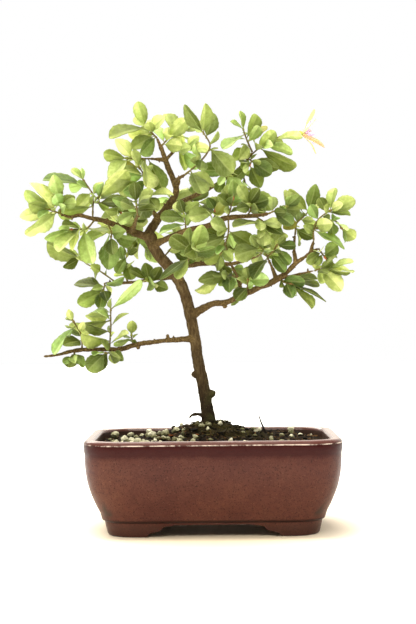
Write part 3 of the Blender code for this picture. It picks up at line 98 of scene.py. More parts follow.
# Wood: across, away, up and radius in mm, from where each piece grows to its end
BRANCHES = {
    "trunk": [(-2.5, 0, 52, 5.1), (-2.5, 0, 66, 5.1), (-2.8, 0, 71, 4.5), (-3.7, 0, 77, 4.2),
        (-5.8, 0, 91, 3.9), (-9.1, 0, 107, 3.8), (-11, 0, 122, 3.7), (-13.7, 0, 136, 3.7),
        (-16.5, -1, 148, 3.7), (-20, -2, 157, 3.8), (-26, -2, 166, 3.8), (-33, -1, 174, 3.7),
        (-38, 0, 182, 3.5), (-40, 1, 188, 3.3), (-37, 2, 194, 2.9), (-32, 3, 201, 2.6), (-27, 3, 207, 2.5),
        (-23, 2, 213, 2.3), (-22, 1, 218, 2.2), (-24, 0, 224, 2.0), (-27, -1, 231, 1.9),
        (-29, -2, 237, 1.7), (-32, -2, 245, 1.3), (-34, -2, 250, 0.9)],
    "low_left": [(-12, 0, 121, 1.9), (-29, -3, 120, 1.5), (-38, -6, 119, 1.6), (-47, -9, 118, 1.6),
        (-58, -13, 115, 1.7), (-65, -15, 115, 1.4), (-81, -19, 115, 1.4), (-89, -21, 114, 1.2),
        (-97, -22, 112, 0.9), (-106, -23, 111, 0.7)],
    "low_right": [(-13, 0, 136, 2.5), (0, -4, 143, 2.1), (9, -8, 144, 1.9), (18, -12, 148, 2.0),
        (30, -17, 153, 1.9), (39, -21, 157, 2.1), (47, -24, 162, 1.5), (53, -26, 168, 1.4),
        (62, -28, 174, 1.1), (67, -29, 177, 0.8)],
    "mid_left": [(-22, 1, 161, 1.7), (-35, 12, 160, 1.3), (-54, 25, 158, 1.1), (-71, 35, 158, 0.7)],
    "mid_right": [(-24, 1, 165, 2.2), (-18, 7, 168, 1.8), (-2, 22, 170, 1.7), (14, 36, 170, 1.2),
        (31, 49, 175, 0.8)],
    "left": [(-39, 0, 186, 2.8), (-45, -2, 188, 2.2), (-58, -6, 193, 2.0), (-69, -10, 197, 1.7),
        (-75, -12, 198, 1.6), (-83, -14, 200, 1.3), (-89, -15, 199, 1.0), (-95, -16, 201, 0.8)],
    "right": [(-38, 0, 180, 2.7), (-33, -4, 183, 2.0), (-15, -13, 190, 1.8), (0, -19, 193, 1.6),
        (10, -22, 197, 1.7), (29, -27, 198, 1.3), (36, -29, 199, 1.0)],
    "upper_right": [(-26, 3, 207, 2.0), (-18, 7, 210, 1.6), (3, 18, 221, 1.3), (20, 23, 233, 1.1),
        (28, 24, 243, 0.8)],
    "front_right": [(-21, -1, 160, 1.6), (-17, -16, 165, 1.2), (-14, -42, 171, 0.8)],
    "front_left": [(-50, -4, 190, 1.5), (-48, -19, 194, 1.2), (-45, -44, 198, 0.8)],
    "back": [(-33, 3, 200, 1.8), (-31, 18, 204, 1.4), (-27, 50, 210, 0.9)],
    "back_left": [(-37, 1, 180, 1.8), (-41, 16, 185, 1.4), (-53, 48, 192, 0.9)],
    "top_front": [(-23, 0, 221, 1.4), (-20, -13, 223, 1.1), (-16, -26, 224, 0.8)],
    "apex_left": [(-29, -2, 236, 1.2), (-34, -6, 236, 0.9), (-38, -9, 236, 0.7)],
    "apex_right": [(-29, -2, 235, 1.2), (-26, 1, 239, 0.9), (-23, 4, 242, 0.7)],
    "upper_left": [(-34, 2, 198, 1.4), (-38, -5, 205, 1.0), (-40, -9, 211, 0.9)],
    "low_right_riser": [(41, -21, 158, 1.2), (38, -23, 166, 0.9), (36, -24, 170, 0.7)],
    "low_right_inner": [(19, -12, 149, 1.3), (17, -9, 159, 1.0), (10, -1, 175, 0.7)],
    "low_right_tall": [(53, -26, 168, 1.1), (52, -24, 178, 0.9), (53, -21, 186, 0.7)],
    "low_right_outer": [(62, -28, 174, 1.0), (64, -30, 182, 0.8)],
    "low_right_under": [(41, -21, 158, 1.3), (49, -26, 160, 0.9), (64, -35, 163, 0.6)],
    "stub_low": [(-28, -3, 120.5, 1.0), (-28.5, -3, 124, 0.8)],
    "stub_under": [(-47, -9, 117, 1.0), (-47, -9, 114.5, 0.8)],
    "stub_right": [(8, -8, 143, 1.2), (9, -9, 140.5, 1.0)],
    "stub_top": [(-23, 1, 216, 1.0), (-20, -1, 222, 0.7), (-20, -1, 225, 0.6)],
    "surface_root": [(-5, -2, 71, 1.3), (-9, -3, 72.5, 1.0), (-13, -3, 72, 0.8), (-15, -3, 70, 0.6)],
}
# Healed cuts and swellings on the trunk: across, away, up and radius in mm
KNOBS = [(-11.2, -0.5, 98, 2.2), (-0.2, -0.5, 85.5, 2.5), (-14, -2.5, 140, 2.6), (-38, 0, 186, 3.6)]

# Leafy shoots: name, stems, usual leaf length in mm.
# A stem is its points in mm from the branch outwards, and then either a number of leaves
# or the leaves that show in the picture: how far along the stem each grows, its tip and its width in mm.
SHOOTS = [
    ("shoot_low_left_end", [([(-86, -20, 114.5), (-87, -21, 112), (-88, -22, 111)], [(1, -91, -25, 104, 10),
     (0.5, -81, -17, 108, 4)])], 12),
    ("shoot_low_left_upright", [([(-82, -19, 115), (-82, -20, 123), (-84, -21, 128), (-87, -22, 133)],
     [(0.85, -101, -24, 114, 8), (1, -92, -20, 136, 4), (0.3, -91, -30, 120, 7), (0.25, -76, -8, 123, 6)])],
     12),
    ("shoot_low_right_spur", [([(17, -9, 159), (13, -11, 161), (8, -14, 161)], [(0.9, -8, -20, 158, 10),
     (0.6, 11, -18, 151, 10), (1, -10, -8, 150, 5), (0.8, 4, -16, 170, 7), (0.5, 2, -20, 153, 8)])], 14),
    ("shoot_low_left_sprig", [([(-65, -15, 115), (-64, -15, 127), (-64, -14, 135), (-64, -13, 140)],
     [(0.42, -89, -21, 119, 7), (0.72, -91, -8, 124, 8), (0.95, -79, -9, 139, 5), (1, -43, -16, 157, 6),
     (0.2, -80, -25, 122, 7), (0.14, -53, -22, 126, 4), (0.85, -82, -2, 132, 7)])], 15),
    ("shoot_low_left_inner", [([(-50, -10, 117), (-51, -12, 122), (-51, -13, 124)], [(1, -50, -15, 132, 7),
     (0.6, -60, -24, 118, 4)])], 10),
    ("shoot_low_left_front", [([(-63, -14, 115), (-64, -19, 113), (-67, -23, 113)], [(1, -78, -28, 102, 13),
     (0.75, -73, -20, 102, 9), (0.3, -61, -18, 106, 7)])], 14),
    ("shoot_mid_left_upper", [([(-63, 31, 158), (-74, 33, 166), (-83, 35, 171), (-87, 36, 175)],
     [(0.98, -112, 40, 183, 10), (1, -97, 34, 168, 7), (0.85, -80, 30, 180, 7), (0.5, -80, 42, 163, 7)])],
     16),
    ("shoot_mid_left_riser", [([(-55, 26, 158), (-58, 24, 168), (-55, 22, 176)], [(0.95, -62, 17, 164, 8),
     (0.8, -52, 18, 160, 10), (1, -62, 26, 180, 7), (1, -48, 18, 179, 5)])], 15),
    ("shoot_mid_left_end", [([(-71, 35, 158), (-71, 34, 156), (-72, 33, 153)], [(0.5, -92, 38, 159, 10),
     (1, -88, 30, 144, 9), (0.9, -69, 24, 146, 9), (0.4, -58, 24, 160, 5)])], 16),
    ("shoot_mid_left_inner", [([(-42, 17, 159.5), (-41, 12, 159), (-38, 8, 157)], [(0.3, -52, 14, 167, 6),
     (1, -28, 4, 153, 9), (0.5, -38, 0, 155, 6), (0.9, -33, 14, 168, 10), (0.6, -43, 18, 171, 9)])], 12),
    ("shoot_left_end", [([(-95, -16, 201), (-100, -18, 203), (-104, -19, 204)], [(0.3, -114, -14, 223, 9),
     (0.6, -116, -22, 213, 11), (1, -120, -22, 198, 9), (0.8, -117, -10, 198, 5), (0.5, -116, -16, 187, 7),
     (0.25, -108, -26, 191, 7), (0.9, -113, -28, 206, 7)]), ([(-95.5, -16, 201), (-94, -20, 207),
     (-95, -22, 211)], [(1, -99, -22, 223, 7), (0.4, -96, -30, 211, 9), (0.6, -86, -28, 211, 9)])], 16),
    ("shoot_left_lower_end", [([(-74, -12, 197), (-78, -15, 192), (-82, -17, 191), (-88, -19, 191)],
     [(1, -104, -23, 184, 7), (0.8, -93, -9, 187, 6), (0.75, -88, -22, 178, 7), (0.55, -77, -22, 170, 12),
     (0.4, -65, -25, 190, 7), (0.6, -93, -26, 194, 6), (0.7, -96, -28, 180, 7)])], 15),
    ("shoot_left_riser", [([(-75, -12, 198), (-75, -10, 204), (-75, -8, 213), (-77, -8, 217),
     (-81, -7, 223)], [(0.86, -107, -4, 226, 8), (1, -88, -8, 231, 5), (0.65, -86, -17, 205, 9),
     (0.4, -84, -2, 207, 7), (0.3, -97, -16, 202, 7), (0.9, -92, -1, 218, 8)]), ([(-76, -9, 209),
     (-71, -13, 208), (-71, -15, 211)], [(1, -52, -20, 225, 11), (0.5, -52, -18, 209, 9),
     (0.8, -69, -8, 221, 6), (0.9, -62, -8, 216, 9)])], 16),
    ("shoot_left_inner_riser", [([(-60, -7, 194), (-57, -10, 200), (-57, -11, 202)], [(1, -66, -16, 203, 6),
     (1, -49, -10, 205, 6), (0.8, -41, -6, 200, 11), (0.3, -42, 6, 193, 9), (0.5, -49, -15, 197, 7),
     (0.5, -68, -6, 196, 7)])], 15),
    ("shoot_left_hanging", [([(-66, -9, 196), (-63, -16, 189), (-63, -19, 186)], [(1, -65, -24, 165, 15),
     (0.6, -80, -18, 185, 7), (0.8, -48, -12, 182, 7)])], 17),
    ("shoot_front_left", [([(-45, -44, 198), (-45, -52, 201), (-45, -59, 204)], [(1, -46, -68, 216, 8),
     (0.7, -60, -60, 207, 8), (0.5, -36, -56, 213, 7), (0.3, -57, -50, 194, 7), (0.9, -38, -72, 204, 7)])],
     15),
    ("shoot_upper_left", [([(-40, -9, 211), (-40, -11, 221), (-43, -13, 227), (-45, -14, 230)],
     [(0.15, -62, -14, 222, 9), (0.08, -24, -12, 214, 8), (0.1, -41, -4, 195, 12), (0.5, -53, -20, 213, 7),
     (0.06, -33, -16, 204, 7), (1, -58, -22, 232, 7), (0.7, -56, -4, 226, 8)])], 16),
    ("shoot_apex_left", [([(-38, -9, 236), (-46, -12, 236), (-53, -14, 236)], [(1, -67, -14, 238, 7),
     (0.92, -66, -18, 223, 10), (0.3, -50, -22, 217, 10), (0.6, -52, -6, 243, 8), (0.1, -31, -16, 216, 13),
     (0.2, -45, 0, 229, 9)])], 17),
    ("shoot_apex_top_left", [([(-34, -2, 250), (-38, -4, 254), (-41, -5, 257)], [(1, -46, -8, 271, 8),
     (0.95, -64, -6, 253, 10), (0.2, -50, -14, 244, 10), (0.6, -30, -10, 262, 8), (0.5, -53, 6, 251, 6),
     (0.1, -43, -16, 239, 10)])], 15),
    ("shoot_apex_top_right", [([(-31, -2, 245), (-26, -3, 250), (-19, -4, 254)], [(0.35, -15, -10, 260, 11),
     (1, -1, -6, 258, 8), (0.8, -28, 4, 267, 8), (0.2, -38, 6, 260, 8), (0.7, -15, 6, 264, 9),
     (0.1, -18, -15, 244, 10)])], 16),
    ("shoot_apex_right", [([(-23, 4, 242), (-18, 4, 243), (-15, 5, 245)], [(0.8, 0, 0, 244, 8),
     (0.5, -7, 0, 231, 9), (0.3, -15, 8, 230, 7), (1, -7, 12, 253, 8)])], 17),
    ("shoot_top_front", [([(-16, -26, 224), (-6, -30, 232), (0, -33, 241), (-4, -34, 249)],
     [(0.7, 13, -38, 224, 15), (0.9, 3, -30, 263, 11), (1, -2, -38, 266, 9), (1, -17, -32, 266, 5),
     (0.45, -6, -40, 226, 9), (0.06, 3, -30, 219, 9), (0.14, -5, -38, 213, 8)])], 16),
    ("shoot_upper_right_top", [([(28, 24, 243), (24, 22, 252), (22, 21, 258)], [(0.6, 33, 18, 268, 9),
     (0.5, 38, 26, 263, 8), (0.95, 21, 22, 270, 5), (0.8, 8, 16, 245, 8), (0.2, 14, 26, 238, 8),
     (0.3, 20, 12, 238, 8)])], 15),
    ("shoot_upper_right_outer", [([(26, 24, 240), (34, 23, 247), (44, 22, 252)], [(0.9, 58, 12, 254, 8),
     (0.6, 55, 20, 243, 10), (0.4, 55, 14, 231, 9), (0.3, 43, 14, 255, 9), (0.9, 41, 28, 259, 5)])], 16),
    ("shoot_upper_right_under", [([(25, 24, 239), (27, 20, 237), (26, 18, 234)], [(0.6, 40, 10, 228, 12),
     (1, 34, 14, 219, 12), (0.4, 45, 24, 231, 7), (0.9, 16, 12, 225, 8)])], 17),
    ("shoot_upper_right_inner", [([(14, 21.5, 229), (12, 17, 230), (10, 15, 227)], [(1, 21, 8, 213, 12),
     (0.6, -5, 12, 231, 11), (0.9, 6, 22, 238, 9), (1, 4, 18, 216, 7)])], 18),
    ("shoot_upper_right_low", [([(20, 23, 233), (23, 19, 222), (23, 16, 216)], [(1, 42, 12, 207, 12),
     (1, 33, 8, 202, 8), (0.9, 13, 14, 208, 9)])], 17),
    ("shoot_right_end", [([(36, -29, 199), (41, -31, 201), (47, -33, 203)], [(0.9, 53, -38, 209, 8),
     (0.2, 39, -28, 211, 8), (0.7, 56, -26, 201, 10), (0.3, 50, -34, 192, 10), (1, 49, -30, 214, 8)])], 16),
    ("shoot_right_upper", [([(23, -26, 198), (25, -29, 202), (24, -30, 205)], [(1, 29, -34, 213, 9),
     (0.8, 16, -36, 202, 9), (0.9, 36, -26, 208, 10), (0.4, 33, -20, 200, 7)])], 17),
    ("shoot_right_riser", [([(10, -22, 197), (12, -24, 201), (13, -26, 205), (14, -27, 209)],
     [(1, 11, -30, 218, 8), (0.6, 5, -32, 210, 8), (0.8, 22, -24, 211, 8), (0.95, 17, -18, 215, 7)])], 16),
    ("shoot_right_middle", [([(-2, -18, 192), (3, -20, 199), (3, -21, 202)], [(0.9, -14, -26, 198, 11),
     (1, -2, -24, 210, 7), (0.6, 11, -28, 203, 8), (0.9, -9, -14, 205, 7)])], 15),
    ("shoot_right_spur", [([(-16, -12, 190), (-16, -13, 195), (-17, -14, 200)], [(0.8, -32, -12, 199, 9),
     (0.4, -34, -8, 189, 8), (1, -8, -18, 207, 8), (1, -23, -10, 209, 8)])], 14),
    ("shoot_right_hanging", [([(11, -22, 197), (11, -22, 188), (9, -21, 181), (6, -20, 175)],
     [(0.5, -11, -28, 179, 12), (1, -4, -12, 180, 9), (0.3, 1, -28, 194, 10), (0.35, 28, -28, 179, 12),
     (0.9, 14, -14, 170, 8)])], 16),
    ("shoot_right_lower", [([(27, -27, 198), (33, -27, 194), (33, -28, 191)], [(0.7, 14, -34, 192, 9),
     (1, 33, -34, 179, 10), (0.8, 44, -30, 187, 9)])], 18),
    ("shoot_trunk", [([(-31, 1, 173), (-25, 4, 180), (-19, 6, 187)], [(0.4, -10, 0, 171, 8),
     (0.6, -8, 9, 178, 9), (1, -6, 4, 188, 8), (0.9, -28, 11, 193, 8)])], 16),
    ("shoot_low_right_riser", [([(36, -24, 170), (34, -25, 175), (31, -26, 178)], [(1, 15, -30, 173, 13),
     (0.6, 25, -22, 186, 8), (0.2, 25, -32, 159, 8)]), ([(35, -24, 172), (39, -26, 176), (41, -28, 179)],
     [(0.8, 50, -32, 168, 7), (0.3, 46, -26, 163, 9), (1, 53, -26, 179, 7)])], 15),
    ("shoot_low_right_tall", [([(53, -21, 186), (54, -19, 193), (58, -18, 197), (62, -17, 201)],
     [(0.98, 49, -22, 215, 9), (1, 67, -18, 218, 10), (0.5, 46, -24, 191, 8), (0.3, 58, -14, 181, 7),
     (0.6, 67, -12, 191, 7), (0.2, 64, -24, 184, 7)])], 15),
    ("shoot_low_right_outer_top", [([(64, -30, 182), (64, -32, 190), (68, -34, 196), (74, -36, 200)],
     [(1, 76, -36, 215, 7), (0.9, 67, -40, 208, 7), (0.98, 89, -34, 207, 11), (0.94, 87, -40, 198, 7),
     (0.35, 76, -26, 193, 7), (0.3, 83, -34, 178, 7), (0.96, 70, -46, 202, 7), (0.2, 58, -36, 191, 7)]),
     ([(65, -31, 189), (76, -34, 194), (81, -36, 189)], [(1, 90, -38, 182, 10), (0.6, 76, -28, 185, 8)])],
     15),
    ("shoot_low_right_tip", [([(67, -29, 177), (69, -30, 174), (71, -31, 171)], [(0.8, 78, -34, 179, 10),
     (0.4, 59, -34, 168, 7)])], 15),
    ("shoot_low_right_outer", [([(64, -35, 163), (68, -37, 164), (72, -38, 164)], [(1, 87, -42, 169, 6),
     (1, 89, -34, 164, 5), (0.5, 80, -42, 151, 10), (0.3, 70, -30, 155, 8), (0.9, 83, -46, 159, 4),
     (0.1, 55, -31, 165, 8)])], 15),
    ("shoot_low_right_under", [([(43, -22, 158), (46, -25, 156), (50, -27, 155)], [(0.15, 58, -34, 146, 7),
     (1, 63, -30, 140, 8), (0.95, 72, -36, 146, 5), (0.4, 68, -22, 156, 5), (0.5, 56, -34, 160, 6)])], 17),
    ("shoot_low_right_inner", [([(23, -14, 150), (23, -17, 155), (23, -18, 158)], [(0.5, 21, -8, 145, 11),
     (1, 36, -24, 158, 10), (1, 24, -22, 167, 7)])], 14),
    ("shoot_low_right_centre", [([(10, -1, 175), (10, 1, 179), (8, 3, 184)], [(1, -4, 4, 191, 9),
     (0.5, 21, 4, 182, 8), (0.3, -4, -4, 170, 8)])], 16),
    ("shoot_mid_right_end", [([(31, 49, 175), (35, 54, 178), (41, 59, 183)], 6), ([(35, 54, 178),
     (28, 59, 180), (20, 62, 181)], 4)], 17),
    ("shoot_mid_right_under", [([(13, 35, 170), (15, 37, 165), (17, 38, 160)], 5)], 16),
    ("shoot_mid_right_upper", [([(-2, 22, 170), (-3, 26, 175), (-4, 31, 181)], 5)], 17),
    ("shoot_front_right", [([(-14, -42, 171), (-12, -50, 174), (-10, -57, 177)], [(1, -5, -68, 188, 8),
     (0.7, -24, -60, 183, 8), (0.5, 2, -60, 176, 7), (0.4, -15, -54, 189, 7), (0.95, -13, -74, 173, 7),
     (0.1, -22, -50, 159, 8), (0.02, -31, -44, 158, 6)])], 15),
    ("shoot_back", [([(-27, 50, 210), (-25, 60, 214), (-22, 69, 218)], 6), ([(-26, 55, 212), (-18, 58, 214),
     (-9, 60, 213)], 5)], 17),
    ("shoot_back_left", [([(-53, 48, 192), (-58, 58, 194), (-64, 66, 198)], 6), ([(-56, 53, 193),
     (-51, 60, 189), (-46, 67, 184)], 5)], 17),
]
STEM_RADIUS = 0.62 * MM
STEM_TIP = 0.72
LEAF_ZONE = 0.22

# Leaf: share of the length, share of the half width, and how far one edge runs ahead of the other
LEAF_SECTIONS = [(0.14, 0.14, 0), (0.45, 0.88, 0.035), (0.8, 0.88, -0.03)]
LEAF_HALF_WIDTH = 0.32
LEAF_GROWTH = 1.14
LEAF_THICKNESS = 1.1 * MM
LEAF_ROOT = 0.2 * MM
# Least and greatest lift of the edges, and greatest droop of the tip, as shares of half width and length
LEAF_FOLD = (0.05, 0.4)
LEAF_ARCH = 0.22
SHOWN_ARCH = 0.1
LEAF_SEED = 4201
LEAF_GLOW = 0.4
# Leaves turn their upper sides up and towards the tree's front, where the light comes from
LEAF_LIGHT = Vector((0, -0.6, 0.5))
# The same for leaves with a known tip, how far a tip is moved at each try to find room, and how far at
# most it is moved nearer or farther away, which the picture doesn't show
SHOWN_FACING = Vector((0, -1, 0.15))
# Natural width of a leaf as a share of its length. A leaf that shows narrower is turned about its own
# length, by this much at the most.
NATURAL_WIDTH = 0.58
MOST_TURNED = math.radians(58)
TIP_SHIFT = 0.25 * MM
TIP_DEPTH = 7 * MM
LEAF_TRIES = 30
LEAF_MARGIN = 1.06

# Flower: middle of the calyx in mm, the way it faces, and its parts
FLOWER_CENTRE = (59.4, 20, 254.6)
FLOWER_AXIS = (0.977, 0.2, 0.071)
FLOWER_TURN = 13
PETAL_TURN = FLOWER_TURN + 36
FLOWER_SHOOT = "shoot_upper_right_outer"
SEPAL_HALF_WIDTH = 1.6 * MM
PETAL_HALF_WIDTH = 1.3 * MM
SEPAL_LENGTH = 19 * MM
PETAL_LENGTH = 10 * MM
HUB_HEIGHT = 1.3 * MM
STALK_RADIUS = 0.5 * MM
STAMEN_LENGTH = 5 * MM


def mm(values):
    """Turn three lengths in millimetres into a point in metres."""
    return Vector(values[:3]) * MM


def in_metres(route):
    """Turn a route's values from millimetres into metres."""
    return [tuple(value * MM for value in point) for point in route]


def smooth_route(points, steps):
    """Read a smooth curve through points of any number of values, with a few steps from each to the next."""
    points = [tuple(p) for p in points]
    route = []
    last = len(points) - 1
    for i in range(last):
        before = points[max(i - 1, 0)]
        here = points[i]
        there = points[i + 1]
        beyond = points[min(i + 2, last)]
        for step in range(steps):
            t = step / steps
            route.append(tuple(
                0.5 * (2 * b + (c - a) * t + (2 * a - 5 * b + 4 * c - d) * t ** 2
                       + (3 * b - a - 3 * c + d) * t ** 3)
                for a, b, c, d in zip(before, here, there, beyond)))
    route.append(points[-1])
    return route


def prism(route, extra, sides=6):
    """Return the points and triangles of a plain prism along (x, y, z, radius) values in metres."""
    points = []
    triangles = []
    for i, (x, y, z, radius) in enumerate(route):
        here = Vector((x, y, z))
        before = Vector(route[max(i - 1, 0)][:3])
        after = Vector(route[min(i + 1, len(route) - 1)][:3])
        turn = (after - before).to_track_quat("Z", "Y")
        for side in range(sides):
            angle = math.tau * side / sides
            reach = radius + extra
            points.append(here + turn @ Vector((reach * math.cos(angle), reach * math.sin(angle), 0)))
    for i in range(len(route) - 1):
        for side in range(sides):
            a = i * sides + side
            b = i * sides + (side + 1) % sides
            triangles.append((a, b, b + sides))
            triangles.append((a, b + sides, a + sides))
    for ring in (0, (len(route) - 1) * sides):
        for side in range(1, sides - 1):
            triangles.append((ring, ring + side, ring + side + 1))
    return points, triangles


def blade_points(length, half_width, thickness, fold, arch, skew):
    """Return one leaf's points along +X: its root, its four-point sections and its tip."""
    points = [Vector((-LEAF_ROOT, 0, 0))]
    for share, width, ahead in LEAF_SECTIONS:
        x = length * share
        z = -arch * length * share * share
        half = half_width * width
        lift = half * fold
        shift = ahead * length * skew
        points.append(Vector((x + shift, half, z + lift)))
        points.append(Vector((x, 0, z + thickness / 2)))
        points.append(Vector((x - shift, -half, z + lift)))
        points.append(Vector((x, 0, z - thickness / 2)))
    points.append(Vector((length, 0, -arch * length)))
    return points


def blade_triangles(first=0):
    """Return a leaf's triangles, split alike on its two faces, from a section onwards."""
    triangles = []
    tip = 1 + 4 * len(LEAF_SECTIONS)
    start = 1 + 4 * first
    for j in range(4):
        k = (j + 1) % 4
        triangles.append((0 if first == 0 else start, start + k, start + j))
        triangles.append((tip - 4 + j, tip - 4 + k, tip))
    for a in range(start, tip - 4, 4):
        b = a + 4
        for j in range(4):
            k = (j + 1) % 4
            if j % 2 == 0:
                triangles.append((a + j, a + k, b + k))
                triangles.append((a + j, b + k, b + j))
            else:
                triangles.append((a + j, a + k, b + j))
                triangles.append((a + k, b + k, b + j))
    return [t for t in triangles if len(set(t)) == 3]


def leaf_frame(position, direction, facing):
    """Return the matrix that puts a leaf's root at a position, along a direction, facing a way."""
    forward = direction.normalized()
    up = (facing - forward * facing.dot(forward)).normalized()
    side = up.cross(forward)
    return Matrix.Translation(position) @ Matrix((forward, side, up)).transposed().to_4x4()


def on_route(route, share):
    """Return the point and the direction at a share of a route's length."""
    spots = [Vector(value[:3]) for value in route]
    lengths = [(b - a).length for a, b in zip(spots, spots[1:])]
    left = share * sum(lengths)
    for a, b, length in zip(spots, spots[1:], lengths):
        if left <= length or b is spots[-1]:
            return a.lerp(b, min(1, left / length)), (b - a).normalized()
        left -= length


def stem_routes(stems):
    """Return a shoot's stems as (x, y, z, radius) values in metres, the later ones forking off the first."""
    routes = []
    for points, _ in stems:
        spots = [mm(point) for point in points]
        if routes:
            main = [Vector(value[:3]) for value in routes[0]]
            near = [intersect_point_line(spots[0], a, b) for a, b in zip(main, main[1:])]
            onto = [a.lerp(b, min(1, max(0, share))) for (_, share), a, b in zip(near, main, main[1:])]
            spots[0] = min(onto, key=lambda spot: (spot - spots[0]).length)
        last = len(spots) - 1
        thinning = (1 - STEM_TIP) / last
        routes.append([(*spot, STEM_RADIUS * (1 - thinning * i)) for i, spot in enumerate(spots)])
    return routes


def flower_axis():
    return Vector(FLOWER_AXIS).normalized()


def stalk_route(start_gap):
    """Return the flower stalk's route, from a gap off the end of the shoot that carries it."""
    stems = next(stems for name, stems, _ in SHOOTS if name == FLOWER_SHOOT)
    shoot_end = mm(stems[0][0][-1])
    centre = mm(FLOWER_CENTRE)
    bend = centre - flower_axis() * 5 * MM + Vector((0, 0, 1.5 * MM))
    start = shoot_end + (centre - shoot_end).normalized() * start_gap
    return smooth_route([(*start, STALK_RADIUS), (*bend, STALK_RADIUS), (*centre, STALK_RADIUS)], 3)


def solid(points, triangles):
    return BVHTree.FromPolygons(points, triangles, all_triangles=True)


class Crown:
    """Keeps every leaf clear of the wood, of the other shoots and of the leaves placed before it."""

    def __init__(self):
        points, triangles = [], []
        for branch in BRANCHES.values():
            more_points, more = prism(in_metres(smooth_route(branch, 2)), GAP)
            triangles += [tuple(i + len(points) for i in t) for t in more]
            points += more_points
        self.wood = solid(points, triangles)
        self.stems = []
        for name, stems, _ in SHOOTS:
            for route in stem_routes(stems):
                self.stems.append((name, solid(*prism(route, GAP * 0.7))))
        centre = mm(FLOWER_CENTRE)
        open_flower = [(*centre, 3 * MM), (*(centre + flower_axis() * 9 * MM), 17 * MM)]
        for route in (open_flower, stalk_route(2 * GAP)):
            self.stems.append(("flower", solid(*prism(route, GAP))))
        self.leaves = []

    def takes(self, shoot, points):
        """Say whether a leaf fits, and keep it if it does."""
        whole = solid(points, blade_triangles())
        outer = solid(points, blade_triangles(1))
        if self.wood.overlap(whole):
            return False
        for owner, stem in self.stems:
            if stem.overlap(outer if owner == shoot else whole):
                return False
        middle = (points[0] + points[-1]) / 2
        reach = (points[0] - points[-1]).length / 2 + 2 * MM
        for owner, other_whole, other_outer, other_middle, other_reach in self.leaves:
            if (middle - other_middle).length > reach + other_reach:
                continue
            if owner == shoot and other_outer.overlap(outer):
                return False
            if owner != shoot and other_whole.overlap(whole):
                return False
        self.leaves.append((shoot, whole, outer, middle, reach))
        return True

    def grow(self, shoot, pose, fold, arch, skew=1, margin=1, spare=0):
        """Try a leaf that stands like this, and return its place, length and shape if there is room."""
        position, direction, facing, length, width = pose
        place = leaf_frame(position, direction, facing)
        half_width = length * LEAF_HALF_WIDTH * width
        probe = blade_points(length * margin, half_width * margin, LEAF_THICKNESS + spare, fold, arch, skew)
        if self.takes(shoot, [place @ point for point in probe]):
            return place, length, {"width": width, "fold": fold, "arch": arch}
        return None


def spread_wide(rng):
    """Return a random offset that is as likely to point one way as another."""
    return Vector((rng.gauss(0, 1), rng.gauss(0, 1), rng.gauss(0, 1)))


def shown_leaf(rng, route, leaf, attempt):
    """Return where a leaf with a known tip grows, which way it points and faces, its length and width."""
    share, *tip, width = leaf
    position, _ = on_route(route, share)
    reach = mm(tip) + spread_wide(rng) * TIP_SHIFT * attempt - position
    reach.y += rng.uniform(-1, 1) * TIP_DEPTH
    shown = min(1, width * MM / (NATURAL_WIDTH * reach.length))
    turned = rng.choice((-1, 1)) * min(math.acos(shown), MOST_TURNED)
    facing = Matrix.Rotation(turned, 3, reach) @ SHOWN_FACING + spread_wide(rng) * (0.12 + 0.02 * attempt)
    usual_width = 2 * reach.length * LEAF_HALF_WIDTH
    return position, reach.normalized(), facing, reach.length, width * MM / math.cos(turned) / usual_width


def ruled_leaf(rng, route, number, count, attempt, typical):
    """Return the same for the next of a number of leaves that take turns along a stem."""
    last = number == count - 1
    share = 1 if last else LEAF_ZONE + (1 - LEAF_ZONE) * (number + 0.35) / count
    position, forward = on_route(route, share)
    outward = Vector((position.x - TRUNK_FOOT.x, position.y - TRUNK_FOOT.y, 0)).normalized()
    level = forward.cross(Vector((0, 0, 1)) if abs(forward.z) < 0.75 else outward).normalized()
    rise = level.cross(forward)
    turn = number * math.pi + rng.uniform(-0.6, 0.6) + (attempt % 4) * rng.uniform(-0.6, 0.6)
    if abs(forward.z) >= 0.6:
        turn = number * math.radians(137.5) + rng.uniform(-0.3, 0.3) + attempt * 0.6
    spread = math.radians(rng.uniform(42, 74) if not last else rng.uniform(4, 22) + 3 * attempt)
    sideways = level * math.cos(turn) + rise * math.sin(turn)
    direction = forward * math.cos(spread) + sideways * math.sin(spread)
    direction.z += rng.uniform(-0.25, 0.2)
    facing = LEAF_LIGHT + outward * 0.3 + spread_wide(rng) * (0.5 + 0.05 * attempt)
    young = 0.72 + 0.28 * math.sin(math.pi * (0.15 + 0.7 * number / count))
    length = typical * MM * LEAF_GROWTH * young * rng.uniform(0.84, 1.1) * (1 - 0.02 * attempt)
    return position, direction.normalized(), facing, length, rng.uniform(0.9, 1.12)


def place_leaves():
    """Place all leaves by rule, and return for each shoot a list of (place, length, shape) values,
    and the crown that they fill."""
    crown = Crown()
    placed = {}
    for order, (name, stems, typical) in enumerate(SHOOTS):
        rng = random.Random(LEAF_SEED + order)
        placed[name] = []
        for route, (_, leaves) in zip(stem_routes(stems), stems):
            shown = isinstance(leaves, list)
            most_arch = SHOWN_ARCH if shown else LEAF_ARCH
            count = len(leaves) if shown else leaves
            for number in range(count):
                for attempt in range(LEAF_TRIES):
                    if shown:
                        pose = shown_leaf(rng, route, leaves[number], attempt)
                    else:
                        pose = ruled_leaf(rng, route, number, count, attempt, typical)
                    leaf = crown.grow(name, pose, rng.uniform(*LEAF_FOLD), rng.uniform(0, most_arch),
                                      rng.choice((-1, 1)), LEAF_MARGIN, 2 * GAP)
                    if leaf:
                        placed[name].append(leaf)
                        break
    return placed, crown


def linear(*values):
    """Turn a colour on the screen's scale, 0 to 255, into the scale that shaders use."""
    shares = (value / 255 for value in values)
    return (*((s / 12.92 if s <= 0.04045 else ((s + 0.055) / 1.055) ** 2.4) for s in shares), 1)


